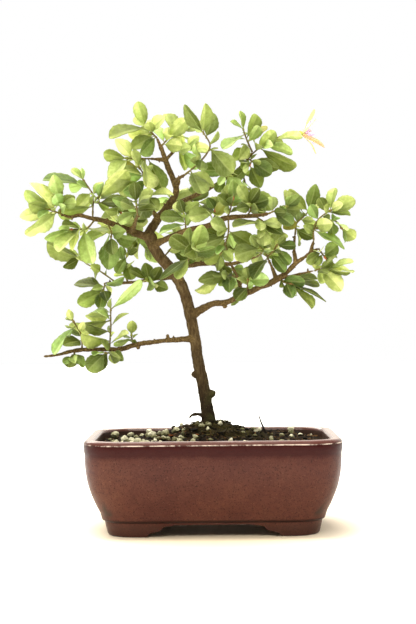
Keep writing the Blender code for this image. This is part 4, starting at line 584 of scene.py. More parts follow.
class Nodes:
    """Shader nodes of a finish or of the room. A colour of three values is on the screen's scale."""

    def __init__(self, tree):
        self.tree = tree

    def put(self, socket, value):
        if isinstance(value, bpy.types.NodeSocket):
            self.tree.links.new(value, socket)
        else:
            socket.default_value = linear(*value) if isinstance(value, tuple) and len(value) == 3 else value

    def node(self, kind, feeds=None, **settings):
        """Add a node with its settings, and feed its sockets."""
        made = self.tree.nodes.new(kind)
        for name, value in settings.items():
            setattr(made, name, value)
        for name, value in (feeds or {}).items():
            self.put(made.inputs[name], value)
        return made

    def mix(self, share, first, second, kind="MIX"):
        feeds = {0: share, 6: first, 7: second}
        return self.node("ShaderNodeMix", feeds, data_type="RGBA", blend_type=kind).outputs[2]

    def maths(self, operation, first, second=0.0):
        return self.node("ShaderNodeMath", {0: first, 1: second}, operation=operation).outputs[0]

    def times(self, first, second):
        return self.maths("MULTIPLY", first, second)

    def plus(self, first, second):
        return self.maths("ADD", first, second)

    def less(self, first, second):
        return self.maths("SUBTRACT", first, second)

    def between(self, value, low, high, start=0.0, end=1.0):
        """Read how far a value is from low to high, as a share from start to end."""
        feeds = {"Value": value, "From Min": low, "From Max": high, "To Min": start, "To Max": end}
        return self.node("ShaderNodeMapRange", feeds).outputs["Result"]


class Finish(Nodes):
    """One finish, built from shader nodes on the piece's own coordinates in metres."""

    def __init__(self, name):
        self.material = bpy.data.materials.new(name)
        self.material.use_nodes = True
        super().__init__(self.material.node_tree)
        self.shader = self.tree.nodes["Principled BSDF"]
        self.place = self.node("ShaderNodeTexCoord").outputs["Object"]

    def set(self, **values):
        """Feed the shader's sockets, named with _ for a space."""
        for name, value in values.items():
            self.put(self.shader.inputs[name.replace("_", " ")], value)

    def stretched(self, across, deep, tall):
        made = self.node("ShaderNodeMapping", {"Vector": self.place})
        made.inputs["Scale"].default_value = (across, deep, tall)
        return made.outputs["Vector"]

    def noise(self, size, detail=3, rough=0.55, at=None):
        feeds = {"Vector": at or self.place, "Scale": 1 / (size * MM), "Detail": detail, "Roughness": rough}
        return self.node("ShaderNodeTexNoise", feeds).outputs["Fac"]

    def cells(self, size, output="Distance"):
        feeds = {"Vector": self.place, "Scale": 1 / (size * MM)}
        return self.node("ShaderNodeTexVoronoi", feeds).outputs[output]

    def ramp(self, value, *stops):
        """Turn a value into a colour, by stops of a share and either red, green and blue or one grey."""
        made = self.node("ShaderNodeValToRGB", {"Fac": value})
        points = made.color_ramp.elements
        while len(points) < len(stops):
            points.new(0.5)
        for point, (position, *colour) in zip(points, stops):
            point.position = position
            point.color = linear(*colour) if len(colour) == 3 else (*colour * 3, 1)
        return made.outputs["Color"]

    def axis(self, letter, source=None):
        return self.node("ShaderNodeSeparateXYZ", {0: source or self.place}).outputs[letter]

    def own(self, name):
        """Read a number that the piece's mesh carries."""
        return self.node("ShaderNodeAttribute", attribute_name=name).outputs["Fac"]

    def bump(self, height, distance, strength, under=None):
        feeds = {"Height": height, "Distance": distance * MM, "Strength": strength}
        if under:
            feeds["Normal"] = under
        return self.node("ShaderNodeBump", feeds).outputs["Normal"]

    def glow(self, colour, share):
        """Let a share of the light come through the piece, in a colour."""
        lit = self.node("ShaderNodeBsdfTranslucent", {"Color": colour})
        blend = self.node("ShaderNodeMixShader", {0: share, 1: self.shader.outputs[0], 2: lit.outputs[0]})
        self.put(self.tree.nodes["Material Output"].inputs["Surface"], blend.outputs[0])


def glaze_finish():
    """Iron-red glaze: mottled and finely speckled, darker under the lip partly as painted shade, with
    painted shade in the groove and on the feet, and a pale rim top and a broken pale line along the lip as
    painted highlights.
    """
    f = Finish("glaze")
    height = f.axis("Z")
    cloud = f.ramp(f.noise(34, 4, 0.6), (0.3, 74, 39, 33), (0.52, 86, 48, 39), (0.75, 95, 57, 44))
    mottle = f.mix(f.ramp(f.noise(2.6, 5, 0.7), (0.42, 0), (0.68, 0.45)), cloud, (62, 32, 29))
    speckle = f.ramp(f.noise(0.75, 2, 0.5), (0.56, 0), (0.66, 0.75))
    body = f.mix(speckle, mottle, (38, 20, 19))
    pale = f.ramp(f.noise(1.1, 2, 0.5), (0.62, 0), (0.75, 0.35))
    body = f.mix(pale, body, (126, 82, 64))
    # A darker band under the lip: partly the glaze's own band, partly painted shade under the lip's overhang
    # that fades out lower down
    shifted = f.plus(height, f.times(f.noise(7, 5, 0.75), 5 * MM))
    lip = f.ramp(f.between(shifted, 46 * MM, 62 * MM), (0, 0.05), (0.3, 0.2), (0.48, 0.85), (1, 0.95))
    body = f.mix(lip, body, (46, 2, 2))
    inside = f.own("inside")
    body = f.mix(inside, body, (58, 40, 33))
    roll = f.ramp(f.between(height, 57.4 * MM, 59.6 * MM), (0, 0), (0.2, 0.5), (0.8, 0.6), (1, 0.9))
    body = f.mix(roll, body, (106, 62, 54))
    # Painted highlight: the rim's top is painted pale, least at the front and most at the sides and back,
    # for the bright reflection it shows
    away_from_front = f.between(f.axis("Y"), POT_CENTRE.y - 54 * MM, POT_CENTRE.y - 46 * MM, 0.05, 0.6)
    top = f.between(height, 59.3 * MM, 59.65 * MM)
    body = f.mix(f.times(top, away_from_front), body, (166, 128, 112))
    # Painted highlight: a pale line along the lip, broken into patches and kept off the inside
    edge = f.ramp(f.between(height, 56.9 * MM, 57.8 * MM), (0, 0), (0.35, 0.85), (0.65, 0.85), (1, 0))
    highlight_patches = f.less(f.ramp(f.noise(6, 4, 0.7), (0.4, 0.05), (0.58, 1)), inside)
    body = f.mix(f.times(edge, f.maths("MAXIMUM", highlight_patches, 0)), body, (240, 222, 206))
    # Painted shade: a dark line in the groove above the feet
    groove_shade = f.ramp(f.between(height, 8.4 * MM, 11.2 * MM), (0, 0), (0.3, 0.9), (0.62, 0.8), (1, 0))
    body = f.mix(groove_shade, body, (36, 20, 16))
    # Painted shade: the feet are painted darker below the groove, towards the floor
    foot = f.between(height, 9 * MM, 6 * MM, 0, 0.5)
    body = f.mix(foot, body, (66, 46, 40))
    gloss = f.times(f.between(height, 57.2 * MM, 58.6 * MM), f.plus(away_from_front, 0.25))
    dull = f.ramp(f.noise(3, 3), (0.3, 0.3), (0.7, 0.46))
    f.set(Base_Color=body, Roughness=f.mix(gloss, dull, (0.16, 0.16, 0.16, 1)))
    f.set(Specular_IOR_Level=f.plus(f.times(gloss, 0.3), 0.12))
    f.set(Coat_Weight=f.plus(f.times(gloss, 0.3), 0.03), Coat_Roughness=0.07)
    dimples = f.bump(f.noise(0.9, 2), 0.08, 0.5)
    f.set(Normal=f.bump(f.noise(7, 2), 0.35, 0.5, dimples))
    return f.material


def bark_finish():
    """Grey-brown bark: fissured and dark at the foot, warmer and smoother on the young wood."""
    f = Finish("bark")
    girth = f.own("girth")
    grain = f.stretched(1, 1, 0.3)
    old = f.ramp(f.noise(1.5, 5, 0.65, grain), (0.3, 56, 42, 26), (0.5, 82, 66, 42), (0.7, 108, 91, 62))
    young = f.ramp(f.noise(1.1, 4, 0.6), (0.3, 64, 50, 30), (0.55, 106, 87, 53), (0.75, 154, 128, 86))
    colour = f.mix(f.between(girth, 1.3, 3.0), young, old)
    height = f.axis("Z")
    foot = f.ramp(f.between(height, 60 * MM, 120 * MM), (0, 0.96), (0.3, 0.8), (0.6, 0.38), (0.8, 0.3),
                  (1, 0))
    colour = f.mix(foot, colour, (28, 22, 17))
    damp = f.ramp(f.noise(7, 3), (0.42, 0), (0.6, 1))
    sunny = f.between(f.axis("X"), POT_CENTRE.x - 6 * MM, POT_CENTRE.x + 3 * MM)
    low = f.ramp(f.between(height, 58 * MM, 130 * MM), (0, 0.5), (0.4, 0.5), (1, 0))
    algae = f.times(f.times(damp, sunny), low)
    colour = f.mix(algae, colour, (76, 84, 44))
    dots = f.ramp(f.cells(1.3), (0.08, 0.3), (0.2, 0))
    colour = f.mix(dots, colour, (150, 126, 92))
    f.set(Base_Color=colour, Roughness=f.ramp(f.noise(2, 2), (0.3, 0.68), (0.7, 0.9)))
    f.set(Specular_IOR_Level=0.06)
    fissures = f.bump(f.noise(0.9, 5, 0.7, grain), 0.35, 0.8)
    f.set(Normal=f.bump(f.noise(3, 3), 0.5, 0.5, fissures))
    return f.material


def leaf_finish(name, stops, vein_colour, shine):
    """One side of a leaf: a midrib, two long side nerves and fine slanting veins, a thin bright edge, and
    painted light and shade across its halves and along its length.
    """
    f = Finish(name)
    spread = f.node("ShaderNodeUVMap", uv_map="leaf")
    along = f.axis("X", spread.outputs["UV"])
    across = f.axis("Y", spread.outputs["UV"])
    out = f.times(f.maths("ABSOLUTE", f.less(across, 0.5)), 2)
    tone = f.own("tone")
    wander = f.times(f.less(f.noise(3.6, 5, 0.7), 0.5), 0.72)
    # Painted light and shade: one half of the leaf is painted lighter than the other, and the tip lighter
    # than the base
    turned = f.plus(f.between(along, 0.2, 1, -0.12, 0.12), f.between(across, 0.46, 0.54, -0.1, 0.1))
    colour = f.ramp(f.plus(tone, f.plus(wander, turned)), *stops)
    colour = f.mix(f.own("fresh"), colour, (226, 255, 250), "MULTIPLY")
    colour = f.mix(f.own("rust"), colour, (168, 156, 70))
    slant = f.less(f.times(along, 9), f.times(out, 2.6))
    ribs = f.maths("ABSOLUTE", f.less(f.maths("FRACT", slant), 0.5))
    fine = f.ramp(ribs, (0, 1), (0.09, 0.6), (0.2, 0))
    middle = f.ramp(out, (0, 1), (0.045, 1), (0.11, 0))
    side = f.ramp(f.maths("ABSOLUTE", f.less(out, 0.46)), (0, 0.45), (0.03, 0.3), (0.08, 0))
    side = f.times(side, f.ramp(along, (0.55, 1), (0.75, 0)))
    veins = f.maths("MAXIMUM", middle, f.maths("MAXIMUM", side, f.times(fine, 0.32)))
    colour = f.mix(f.times(veins, 0.5), colour, vein_colour)
    rim = f.ramp(out, (0.86, 0), (1, 0.35))
    colour = f.mix(rim, colour, vein_colour)
    stalk = f.ramp(along, (0.1, 0.85), (0.2, 0))
    colour = f.mix(stalk, colour, (128, 128, 60))
    spots = f.times(f.ramp(f.noise(1.9, 2), (0.7, 0), (0.78, 0.7)), f.ramp(out, (0.5, 0), (0.95, 1)))
    colour = f.mix(spots, colour, (112, 84, 44))
    f.set(Base_Color=colour, Roughness=f.ramp(f.noise(3, 2), (0.3, shine), (0.7, shine + 0.16)))
    f.set(Specular_IOR_Level=0.16)
    relief = f.less(f.times(f.noise(0.7, 2), 0.5), veins)
    f.set(Normal=f.bump(relief, 0.14, 0.7))
    f.glow(f.mix(0.5, colour, (206, 214, 70)), LEAF_GLOW)
    return f.material


def skin_finish(name, stops, size, roughness, depth=0.1, through=None):
    """A plain skin of plant or stone: colours that wander between a few stops, with a fine relief."""
    f = Finish(name)
    tone = f.own("tone")
    wander = f.plus(f.times(f.noise(size, 4, 0.6), 0.7), f.times(f.less(tone, 0.5), 0.55))
    colour = f.ramp(f.plus(wander, 0.12), *stops)
    f.set(Base_Color=colour, Roughness=f.ramp(f.noise(size, 2), (0.3, roughness), (0.7, roughness + 0.12)))
    f.set(Normal=f.bump(f.noise(size * 0.4, 4, 0.65), depth, 0.8), Specular_IOR_Level=0.15)
    if through:
        f.glow(colour, through)
    return f.material


def soil_finish():
    """Damp dark growing mix, with moss and algae over the mound."""
    f = Finish("soil")
    crumbs = f.cells(1.6, "Color")
    brown = f.ramp(f.axis("X", crumbs), (0, 10, 7, 4), (0.5, 26, 19, 12),
                   (0.85, 48, 36, 22), (1, 96, 70, 42))
    green = f.ramp(f.noise(1.4, 4, 0.7), (0.3, 26, 22, 10), (0.55, 50, 44, 22), (0.75, 84, 76, 38))
    patch = f.plus(f.noise(11, 4, 0.65), f.times(f.own("moss"), 0.4))
    colour = f.mix(f.ramp(patch, (0.62, 0), (0.78, 0.9)), brown, green)
    f.set(Base_Color=colour, Roughness=f.ramp(f.noise(2, 2), (0.3, 0.72), (0.7, 0.95)))
    f.set(Specular_IOR_Level=0.05)
    crumb = f.bump(f.cells(1.1), 0.6, 0.8)
    f.set(Normal=f.bump(f.noise(0.6, 4, 0.7), 0.35, 0.9, crumb))
    return f.material


def screen_finish():
    f = Finish("screen_plastic")
    f.set(Base_Color=f.ramp(f.noise(3, 3), (0.3, 22, 22, 22), (0.7, 44, 43, 40)))
    f.set(Roughness=f.ramp(f.noise(1.2, 2), (0.3, 0.45), (0.7, 0.65)))
    f.set(Normal=f.bump(f.noise(0.5, 2), 0.05, 0.6))
    return f.material


# Light from the room behind the camera and from the bright backdrop, and how much the ceiling adds
ROOM_LIGHT = (0.06, 1.25)
SKY_LIGHT = 0.42
WARM = (1, 0.955, 0.86)
# Lamps: name, place, width and height in metres, and power in watts
LAMPS = [("key", (-0.3, -0.95, 0.8), 1.4, 0.22, 9), ("back", (-0.3, 0.8, 0.9), 1.0, 1.0, 14),
         ("top", (-0.1, -0.1, 1.3), 0.5, 0.5, 14)]
LAMPS_AIM = Vector((0, 0, 0.12))
# Camera: focal length and height of the picture in pixels, place from the pot in mm, and tilt in radians
FOCAL_PIXELS = 1492
PICTURE_HEIGHT = 624
CAMERA_PLACE = (-2.3, -960, 138)
CAMERA_ROLL = -0.0096
SENSOR = 36


def floor_finish():
    """A white sweep with painted light: it glows away from the object, and near it stays plain and shaded,
    with a warm tint that stands for the pot's light thrown back into its shadow.
    """
    f = Finish("studio_floor")
    place = f.node("ShaderNodeMapping", {"Vector": f.place})
    place.inputs["Location"].default_value = (-POT_CENTRE.x, -POT_CENTRE.y, 0)
    away = f.node("ShaderNodeVectorMath", {0: place.outputs["Vector"]}, operation="LENGTH")
    far = f.ramp(f.between(away.outputs["Value"], 0.06, 0.2), (0, 0), (0.45, 0.35), (1, 1))
    # Painted light: a warm tint near the object for the pot's light thrown back into its shadow, and plain
    # white farther away, where the floor also glows
    f.set(Base_Color=f.mix(far, (255, 240, 212), (253, 253, 252)))
    f.set(Roughness=0.7, Emission_Color=(1, 0.99, 0.97, 1))
    f.set(Emission_Strength=f.times(far, 0.5))
    return f.material


def deselect():
    bpy.ops.object.select_all(action="DESELECT")


def pick(*items):
    """Select these objects alone, the first of them the active one."""
    deselect()
    for item in items:
        item.select_set(True)
    bpy.context.view_layer.objects.active = items[0]


def select_parts(item, kind, wanted):
    """In edit mode, select the vertices, edges or faces that a test names."""
    bpy.ops.mesh.select_mode(type={"verts": "VERT", "edges": "EDGE", "faces": "FACE"}[kind])
    bpy.ops.mesh.select_all(action="DESELECT")
    bm = bmesh.from_edit_mesh(item.data)
    for part in getattr(bm, kind):
        if wanted(part):
            part.select_set(True)
    bm.select_flush_mode()
    bmesh.update_edit_mesh(item.data)


def apply_modifiers(item):
    pick(item)
    for modifier in list(item.modifiers):
        bpy.ops.object.modifier_apply(modifier=modifier.name)


def apply_place(item):
    pick(item)
    bpy.ops.object.transform_apply(location=True, rotation=True, scale=True)


def set_number(mesh, name, values):
    """Give each vertex a number that a finish reads."""
    layer = mesh.attributes.get(name) or mesh.attributes.new(name, "FLOAT", "POINT")
    if isinstance(values, (int, float)):
        values = [values] * len(mesh.vertices)
    layer.data.foreach_set("value", values)


def close_up(item, distance):
    """Merge a mesh's doubles, and turn its faces outwards."""
    pick(item)
    bpy.ops.object.mode_set(mode="EDIT")
    bpy.ops.mesh.select_all(action="SELECT")
    bpy.ops.mesh.remove_doubles(threshold=distance)
    bpy.ops.mesh.normals_make_consistent(inside=False)
    bpy.ops.object.mode_set(mode="OBJECT")


def settle(item, slot, *nodes, angle=None, merge=True):
    """Close a finished piece, smooth it, move it to the pot, hang it on the root, and hide the parts of the
    solids that it takes the place of.
    """
    pick(item)
    if merge:
        close_up(item, 0.002 * MM)
    if angle is None:
        bpy.ops.object.shade_smooth()
    else:
        bpy.ops.object.shade_smooth_by_angle(angle=math.radians(angle))
    item.data.transform(Matrix.Translation(POT_CENTRE))
    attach(item, "root")
    if nodes:
        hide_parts(*nodes)
    return item


def finish_with(item, *materials):
    item.data.materials.clear()
    for material in materials:
        item.data.materials.append(material)


def copy_of(master, name):
    copy = master.copy()
    copy.data = master.data.copy()
    copy.name = name
    bpy.context.collection.objects.link(copy)
    return copy


def drop(item):
    bpy.data.objects.remove(item, do_unlink=True)


def join(name, pieces):
    """Make one piece of several."""
    pick(*pieces)
    bpy.ops.object.join()
    joined = bpy.context.object
    joined.name = name
    return joined


def drawn(name, places, radii, turn=None, closed=False, **settings):
    """Draw a curve through places, with a share of its thickness at each, and make it a mesh."""
    curve = bpy.data.curves.new(name, "CURVE")
    for setting, value in settings.items():
        setattr(curve, setting, value)
    line = curve.splines.new("POLY")
    line.points.add(len(places) - 1)
    for point, place, radius in zip(line.points, places, radii):
        point.co = (*place, 1)
        point.radius = radius
    line.use_cyclic_u = closed
    item = bpy.data.objects.new(name, curve)
    bpy.context.collection.objects.link(item)
    if turn:
        item.matrix_world = turn
    pick(item)
    bpy.ops.object.convert(target="MESH")
    return bpy.context.object


def tube(name, route, sides_step):
    """Make a closed round tube mesh along (x, y, z, radius) values in metres."""
    return drawn(name, [value[:3] for value in route], [value[3] / MM for value in route], dimensions="3D",
                 bevel_depth=1 * MM, bevel_resolution=sides_step, use_fill_caps=True)


def wall_size(inset):
    """Return half the width and half the depth of the pot at an inset in mm."""
    return POT_WIDTH / 2 - inset * MM, POT_DEPTH / 2 - inset * MM


def rounded_block(name, bottom, inset, height):
    """Start a block with the rim's rounded corners, fitted to an inset in mm."""
    deselect()
    half_x, half_y = wall_size(inset)
    middle = (bottom + height / 2) * MM
    bpy.ops.mesh.primitive_cube_add(size=1, location=(0, 0, middle),
                                    scale=(POT_WIDTH, POT_DEPTH, height * MM))
    block = bpy.context.object
    block.name = name
    apply_place(block)
    bpy.ops.object.mode_set(mode="EDIT")
    select_parts(block, "edges", lambda e: abs(e.verts[0].co.z - e.verts[1].co.z) > 0.1 * MM)
    bpy.ops.mesh.bevel(offset=RIM_CORNER, segments=CORNER_STEPS, affect="EDGES")
    bpy.ops.mesh.select_all(action="SELECT")
    bpy.ops.transform.resize(value=(2 * half_x / POT_WIDTH, 2 * half_y / POT_DEPTH, 1),
                             center_override=(0, 0, middle))
    return block


def draw_ring(at, to):
    """Extrude the selected level ring or face at one (height, inset) in mm and fit it to the next one."""
    old_x, old_y = wall_size(at[1])
    new_x, new_y = wall_size(to[1])
    bpy.ops.mesh.extrude_region_move(TRANSFORM_OT_translate={"value": (0, 0, (to[0] - at[0]) * MM)})
    bpy.ops.transform.resize(value=(new_x / old_x, new_y / old_y, 1), center_override=(0, 0, to[0] * MM))


def cut(item, cutter):
    """Cut one piece by another, and take the cutter away."""
    difference = item.modifiers.new("cut", "BOOLEAN")
    difference.operation = "DIFFERENCE"
    difference.solver = "EXACT"
    difference.object = cutter
    apply_modifiers(item)
    drop(cutter)


def arch_cutter(name, half_span, foot_length, half_depth, turn):
    """Make the cloud-shaped prism that parts two feet on one pair of sides."""
    outer = half_span - foot_length
    inner = outer - ARCH_SLOPE
    top = FLOOR_BOTTOM - 0.8 * MM
    half = [(outer + 2 * MM, -3 * MM), (outer, 0.8 * MM), (outer - 2 * MM, 2.6 * MM),
            ((outer + inner) / 2 + 1 * MM, 4 * MM), ((outer + inner) / 2 - 2 * MM, 6.6 * MM),
            (inner + 2 * MM, 7.2 * MM), (inner, top)]
    outline = smooth_route(half, 4)
    outline += [(-x, z) for x, z in reversed(outline)]
    upright = Matrix.Rotation(turn, 4, "Z") @ Matrix.Rotation(math.pi / 2, 4, "X")
    cutter = drawn(name, [(x, z, 0) for x, z in outline], [1] * len(outline), upright, closed=True,
                   dimensions="2D", fill_mode="BOTH", extrude=half_depth)
    apply_place(cutter)
    close_up(cutter, 0.01 * MM)
    return cutter


def make_pot(glaze):
    """The fired body: drawn up from the foot, over the lip and down to the floor, its feet cut last."""
    start, second = POT_PROFILE[0], POT_PROFILE[1]
    pot = rounded_block("glazed_pot", start[0], start[1], second[0] - start[0])
    select_parts(pot, "faces", lambda f: f.normal.z > 0.9)
    first_x, first_y = wall_size(start[1])
    next_x, next_y = wall_size(second[1])
    bpy.ops.transform.resize(value=(next_x / first_x, next_y / first_y, 1),
                             center_override=(0, 0, second[0] * MM))
    rings = POT_PROFILE[1:] + CAVITY_PROFILE[::-1]
    for at, to in zip(rings, rings[1:]):
        draw_ring(at, to)
    bpy.ops.object.mode_set(mode="OBJECT")
    recess = rounded_block("recess", -3, FOOT_BAND + FOOT_WALL / MM, FLOOR_BOTTOM / MM + 3)
    bpy.ops.object.mode_set(mode="OBJECT")
    cut(pot, recess)
    half_x, half_y = wall_size(FOOT_BAND)
    cut(pot, arch_cutter("arch_front_back", half_x, FOOT_LENGTH_WIDE, POT_DEPTH, 0))
    cut(pot, arch_cutter("arch_sides", half_y, FOOT_LENGTH_DEEP, POT_WIDTH, math.pi / 2))
    for side in (-1, 1):
        deselect()
        bpy.ops.mesh.primitive_cylinder_add(vertices=40, radius=DRAIN_RADIUS, depth=FLOOR_TOP + 5 * MM,
                                            location=(side * DRAIN_OFFSET, 0, FLOOR_TOP / 2 + 2 * MM))
        cut(pot, bpy.context.object)
    softened = pot.modifiers.new("softened", "BEVEL")
    softened.width = 0.5 * MM
    softened.segments = 2
    softened.limit_method = "ANGLE"
    softened.angle_limit = math.radians(50)
    apply_modifiers(pot)
    finish_with(pot, glaze)
    inside = []
    for v in pot.data.vertices:
        inset = min(POT_WIDTH / 2 - abs(v.co.x), POT_DEPTH / 2 - abs(v.co.y))
        below = INSIDE_TOP - v.co.z
        inside.append(float(v.co.z > FLOOR_TOP and below > 0 and inset > 6 * MM + 0.16 * below))
    set_number(pot.data, "inside", inside)
    return settle(pot, "glaze", "pot", angle=40)


def soil_height(x, y):
    """The soil's level: a low crown, a mound round the trunk, and lumps a few millimetres across."""
    half_x, half_y = wall_size(WALL)
    out = max(abs(x) / half_x, abs(y) / half_y)
    level = SOIL_EDGE + SOIL_CROWN * (1 - out ** 3)
    away = math.hypot(x - TRUNK_FOOT.x, (y - TRUNK_FOOT.y) * 1.15) / MOUND_REACH
    level += MOUND_HEIGHT * math.exp(-away * away)
    across = math.sin(x / (2.9 * MM) + 1.7 * math.sin(y / (4.3 * MM)))
    lumps = across * math.cos(y / (3.3 * MM) + x / (7 * MM))
    return level + SOIL_RELIEF * lumps * min(1, max(0, (1 - out) * 6))


def crumbly(x, y):
    """The soil's level with its crumbs, a millimetre or two across, and a low bank at the back right."""
    spot = Vector((x, y, 0)) / MM
    near = noise.voronoi(spot / 2.6)[0][0]
    fine = noise.fractal(spot / 1.1, 0.7, 2.0, 3)
    across, away = (x / MM - 20) / 32, (y / MM - 47) / 13
    bank = 4.5 * math.exp(-across * across - away * away)
    return soil_height(x, y) + (0.5 - near) * 2.1 * MM + fine * 0.4 * MM + bank * MM


def on_soil(x, y, lift):
    """Return a point this far above the crumbly soil."""
    return Vector((x, y, crumbly(x, y) + lift))


def make_soil(soil):
    """The growing mix: a crumbly top, and sides that follow the pot's wall down to its floor."""
    half_x, half_y = wall_size(SOIL_INSET)
    corner = 20 * MM
    deselect()
    bpy.ops.mesh.primitive_grid_add(x_subdivisions=150, y_subdivisions=110, size=2, location=(0, 0, 0))
    mix = bpy.context.object
    mix.name = "growing_mix"
    bpy.ops.object.mode_set(mode="EDIT")
    bm = bmesh.from_edit_mesh(mix.data)
    for v in bm.verts:
        ring = max(abs(v.co.x), abs(v.co.y), 1e-9)
        x, y = v.co.x / ring * half_x, v.co.y / ring * half_y
        over_x, over_y = abs(x) - (half_x - corner), abs(y) - (half_y - corner)
        if over_x > 0 and over_y > 0:
            reach = corner / math.hypot(over_x, over_y)
            x = math.copysign(half_x - corner + over_x * reach, x)
            y = math.copysign(half_y - corner + over_y * reach, y)
        v.co = Vector((x * ring, y * ring, 0))
        v.co.z = crumbly(v.co.x, v.co.y)
        if ring > 0.999:
            v.co.z = SOIL_EDGE - 0.5 * MM
    bmesh.update_edit_mesh(mix.data)
    select_parts(mix, "edges", lambda e: e.is_boundary)
    gap = GAP / MM
    wall = [p for p in CAVITY_PROFILE[::-1] if p[0] < SOIL_EDGE / MM - 2][:-1]
    wall.append((FLOOR_TOP / MM + gap, CAVITY_PROFILE[0][1]))
    rings = [(SOIL_EDGE / MM - 0.5, SOIL_INSET)] + [(height, inset + gap) for height, inset in wall]
    for at, to in zip(rings, rings[1:]):
        draw_ring(at, to)
    bpy.ops.mesh.edge_face_add()
    bpy.ops.object.mode_set(mode="OBJECT")
    moss = []
    for v in mix.data.vertices:
        away = math.hypot((v.co.x - 10 * MM) / 30, (v.co.y + 6 * MM) / 26) / MM
        moss.append(max(0, 1 - away * away))
    set_number(mix.data, "moss", moss)
    finish_with(mix, soil)
    return settle(mix, "soil", "soil", merge=False)


STONES = 5
STONE_SEED = 60
STONE_CUTS = 9


def stone_masters(stones):
    """Shape a few rough stones, each from a ball that is cut flat here and there and knocked about."""
    masters = []
    for number in range(STONES):
        rng = random.Random(STONE_SEED + number)
        deselect()
        bpy.ops.mesh.primitive_ico_sphere_add(subdivisions=2, radius=1, location=(0, 0, 0))
        stone = bpy.context.object
        stone.name = f"stone_master_{number}"
        bpy.ops.object.mode_set(mode="EDIT")
        for _ in range(STONE_CUTS):
            way = spread_wide(rng).normalized()
            bpy.ops.mesh.select_all(action="SELECT")
            bpy.ops.mesh.bisect(plane_co=way * rng.uniform(0.5, 0.72), plane_no=way, use_fill=True,
                                clear_outer=True)
        bpy.ops.mesh.select_all(action="SELECT")
        bpy.ops.transform.resize(value=(1.4, 1.2, 1.1), center_override=(0, 0, 0))
        bpy.ops.mesh.remove_doubles(threshold=0.12)
        bpy.ops.object.mode_set(mode="OBJECT")
        for v in stone.data.vertices:
            v.co *= 1 + 0.12 * noise.noise(v.co * 1.9 + Vector((number * 5, 0, 0)))
        finish_with(stone, stones)
        masters.append(stone)
    return masters


# How much lighter the top of a stone or tuft is painted than its middle, as painted light from above; below
# its middle it is painted darker, as painted shade
PAINTED_TOP_LIGHT = 0.42
COVER_SEED = 21
# Up to which number the small grains lie at the front left, at the front right, round the trunk and anywhere
GRAINS = (78, 96, 108, 156)
# Moss tufts that are tried, and the leaflets of one: number, height, most lean and half width
TUFTS = 520
TUFT_SEED = 5
TUFT = (11, 1.5, 0.9, 0.2)
# Bark bits that show at the front, across and away in mm, and how many more are tried
BARK_BITS = [(-29, -39), (-21, -37), (-15, -41), (-26, -20), (-33, -26), (-12, -36)]
MORE_BARK_BITS = 26
CHIP_SEED = 4
# Clods that are tried: all, and those of them round the trunk
CLODS = 300
TRUNK_CLODS = 200


def scatter(name, masters, spots, rng):
    """Copy the masters to (place, size, upright or not, tone) spots and join the copies into one piece.
    Each copy is painted lighter towards its top and darker towards its bottom, as painted light and shade."""
    copies = []
    for number, (place, size, upright, tone) in enumerate(spots):
        copy = copy_of(rng.choice(masters), f"{name}_{number}")
        turn = Matrix.Rotation(rng.uniform(0, math.tau), 4, "Z")
        if upright:
            turn = Matrix.Rotation(rng.uniform(-0.35, 0.35), 4, "X") @ turn
        else:
            turn = turn @ Matrix.Rotation(rng.uniform(0, math.tau), 4, "X")
        copy.data.transform(Matrix.Translation(place) @ turn @ Matrix.Diagonal((size, size, size, 1)))
        heights = [(v.co.z - place.z) / size for v in copy.data.vertices]
        set_number(copy.data, "tone", [tone + PAINTED_TOP_LIGHT * height for height in heights])
        copies.append(copy)
    return join(name, copies)


def grit_spots(rng):
    """The grit that the solids carry, and the smaller grains between, thickest at the front left."""
    spots = []
    for x, y, lift, radius in GRIT:
        spots.append((on_soil(x * MM, y * MM, lift * MM), radius * MM, False, rng.uniform(0.3, 1)))
    half_x, half_y = wall_size(SOIL_INSET + 2)
    front_left, front_right, trunk, last = GRAINS
    for number in range(last):
        if number < front_left:
            x, y = rng.gauss(-46, 14) * MM, rng.gauss(-36, 11) * MM
            radius = rng.uniform(0.9, 2.1)
        elif number < front_right:
            x, y = rng.gauss(36, 20) * MM, rng.gauss(-40, 8) * MM
            radius = rng.uniform(0.6, 1.5)
        elif number < trunk:
            turn, reach = rng.uniform(0, math.tau), rng.uniform(6, 11)
            x, y = TRUNK_FOOT.x + math.cos(turn) * reach * MM, math.sin(turn) * reach * MM
            radius = rng.uniform(0.8, 1.5)
        else:
            x, y = rng.uniform(-1, 1) * half_x, rng.uniform(-1, 1) * half_y
            radius = rng.uniform(0.5, 1.9)
        corner = max(0, abs(x) - half_x + 16 * MM) + max(0, abs(y) - half_y + 16 * MM)
        if abs(x) > half_x or abs(y) > half_y or corner > 20 * MM:
            continue
        if math.hypot(x - TRUNK_FOOT.x, y - TRUNK_FOOT.y) < 6.2 * MM:
            continue
        spots.append((on_soil(x, y, radius * 0.25 * MM), radius * MM, False, rng.uniform(-0.25, 0.7)))
    return spots


def tuft_master(moss):
    """One tuft of moss: a few pointed leaflets that lean out from a common root."""
    rng = random.Random(TUFT_SEED)
    leaflets, height, most_lean, width = TUFT
    parts = []
    for number in range(leaflets):
        deselect()
        bpy.ops.mesh.primitive_cone_add(vertices=3, radius1=width, radius2=0, depth=1, location=(0, 0, 0.5))
        leaflet = bpy.context.object
        tall = rng.uniform(0.6, 1) * height
        turn = Matrix.Rotation(number * 2.4, 4, "Z") @ Matrix.Rotation(rng.uniform(0.1, most_lean), 4, "X")
        leaflet.data.transform(turn @ Matrix.Diagonal((1, 1, tall, 1)))
        leaflet.location = (0, 0, 0)
        parts.append(leaflet)
    tuft = join("tuft_master", parts)
    finish_with(tuft, moss)
    return tuft


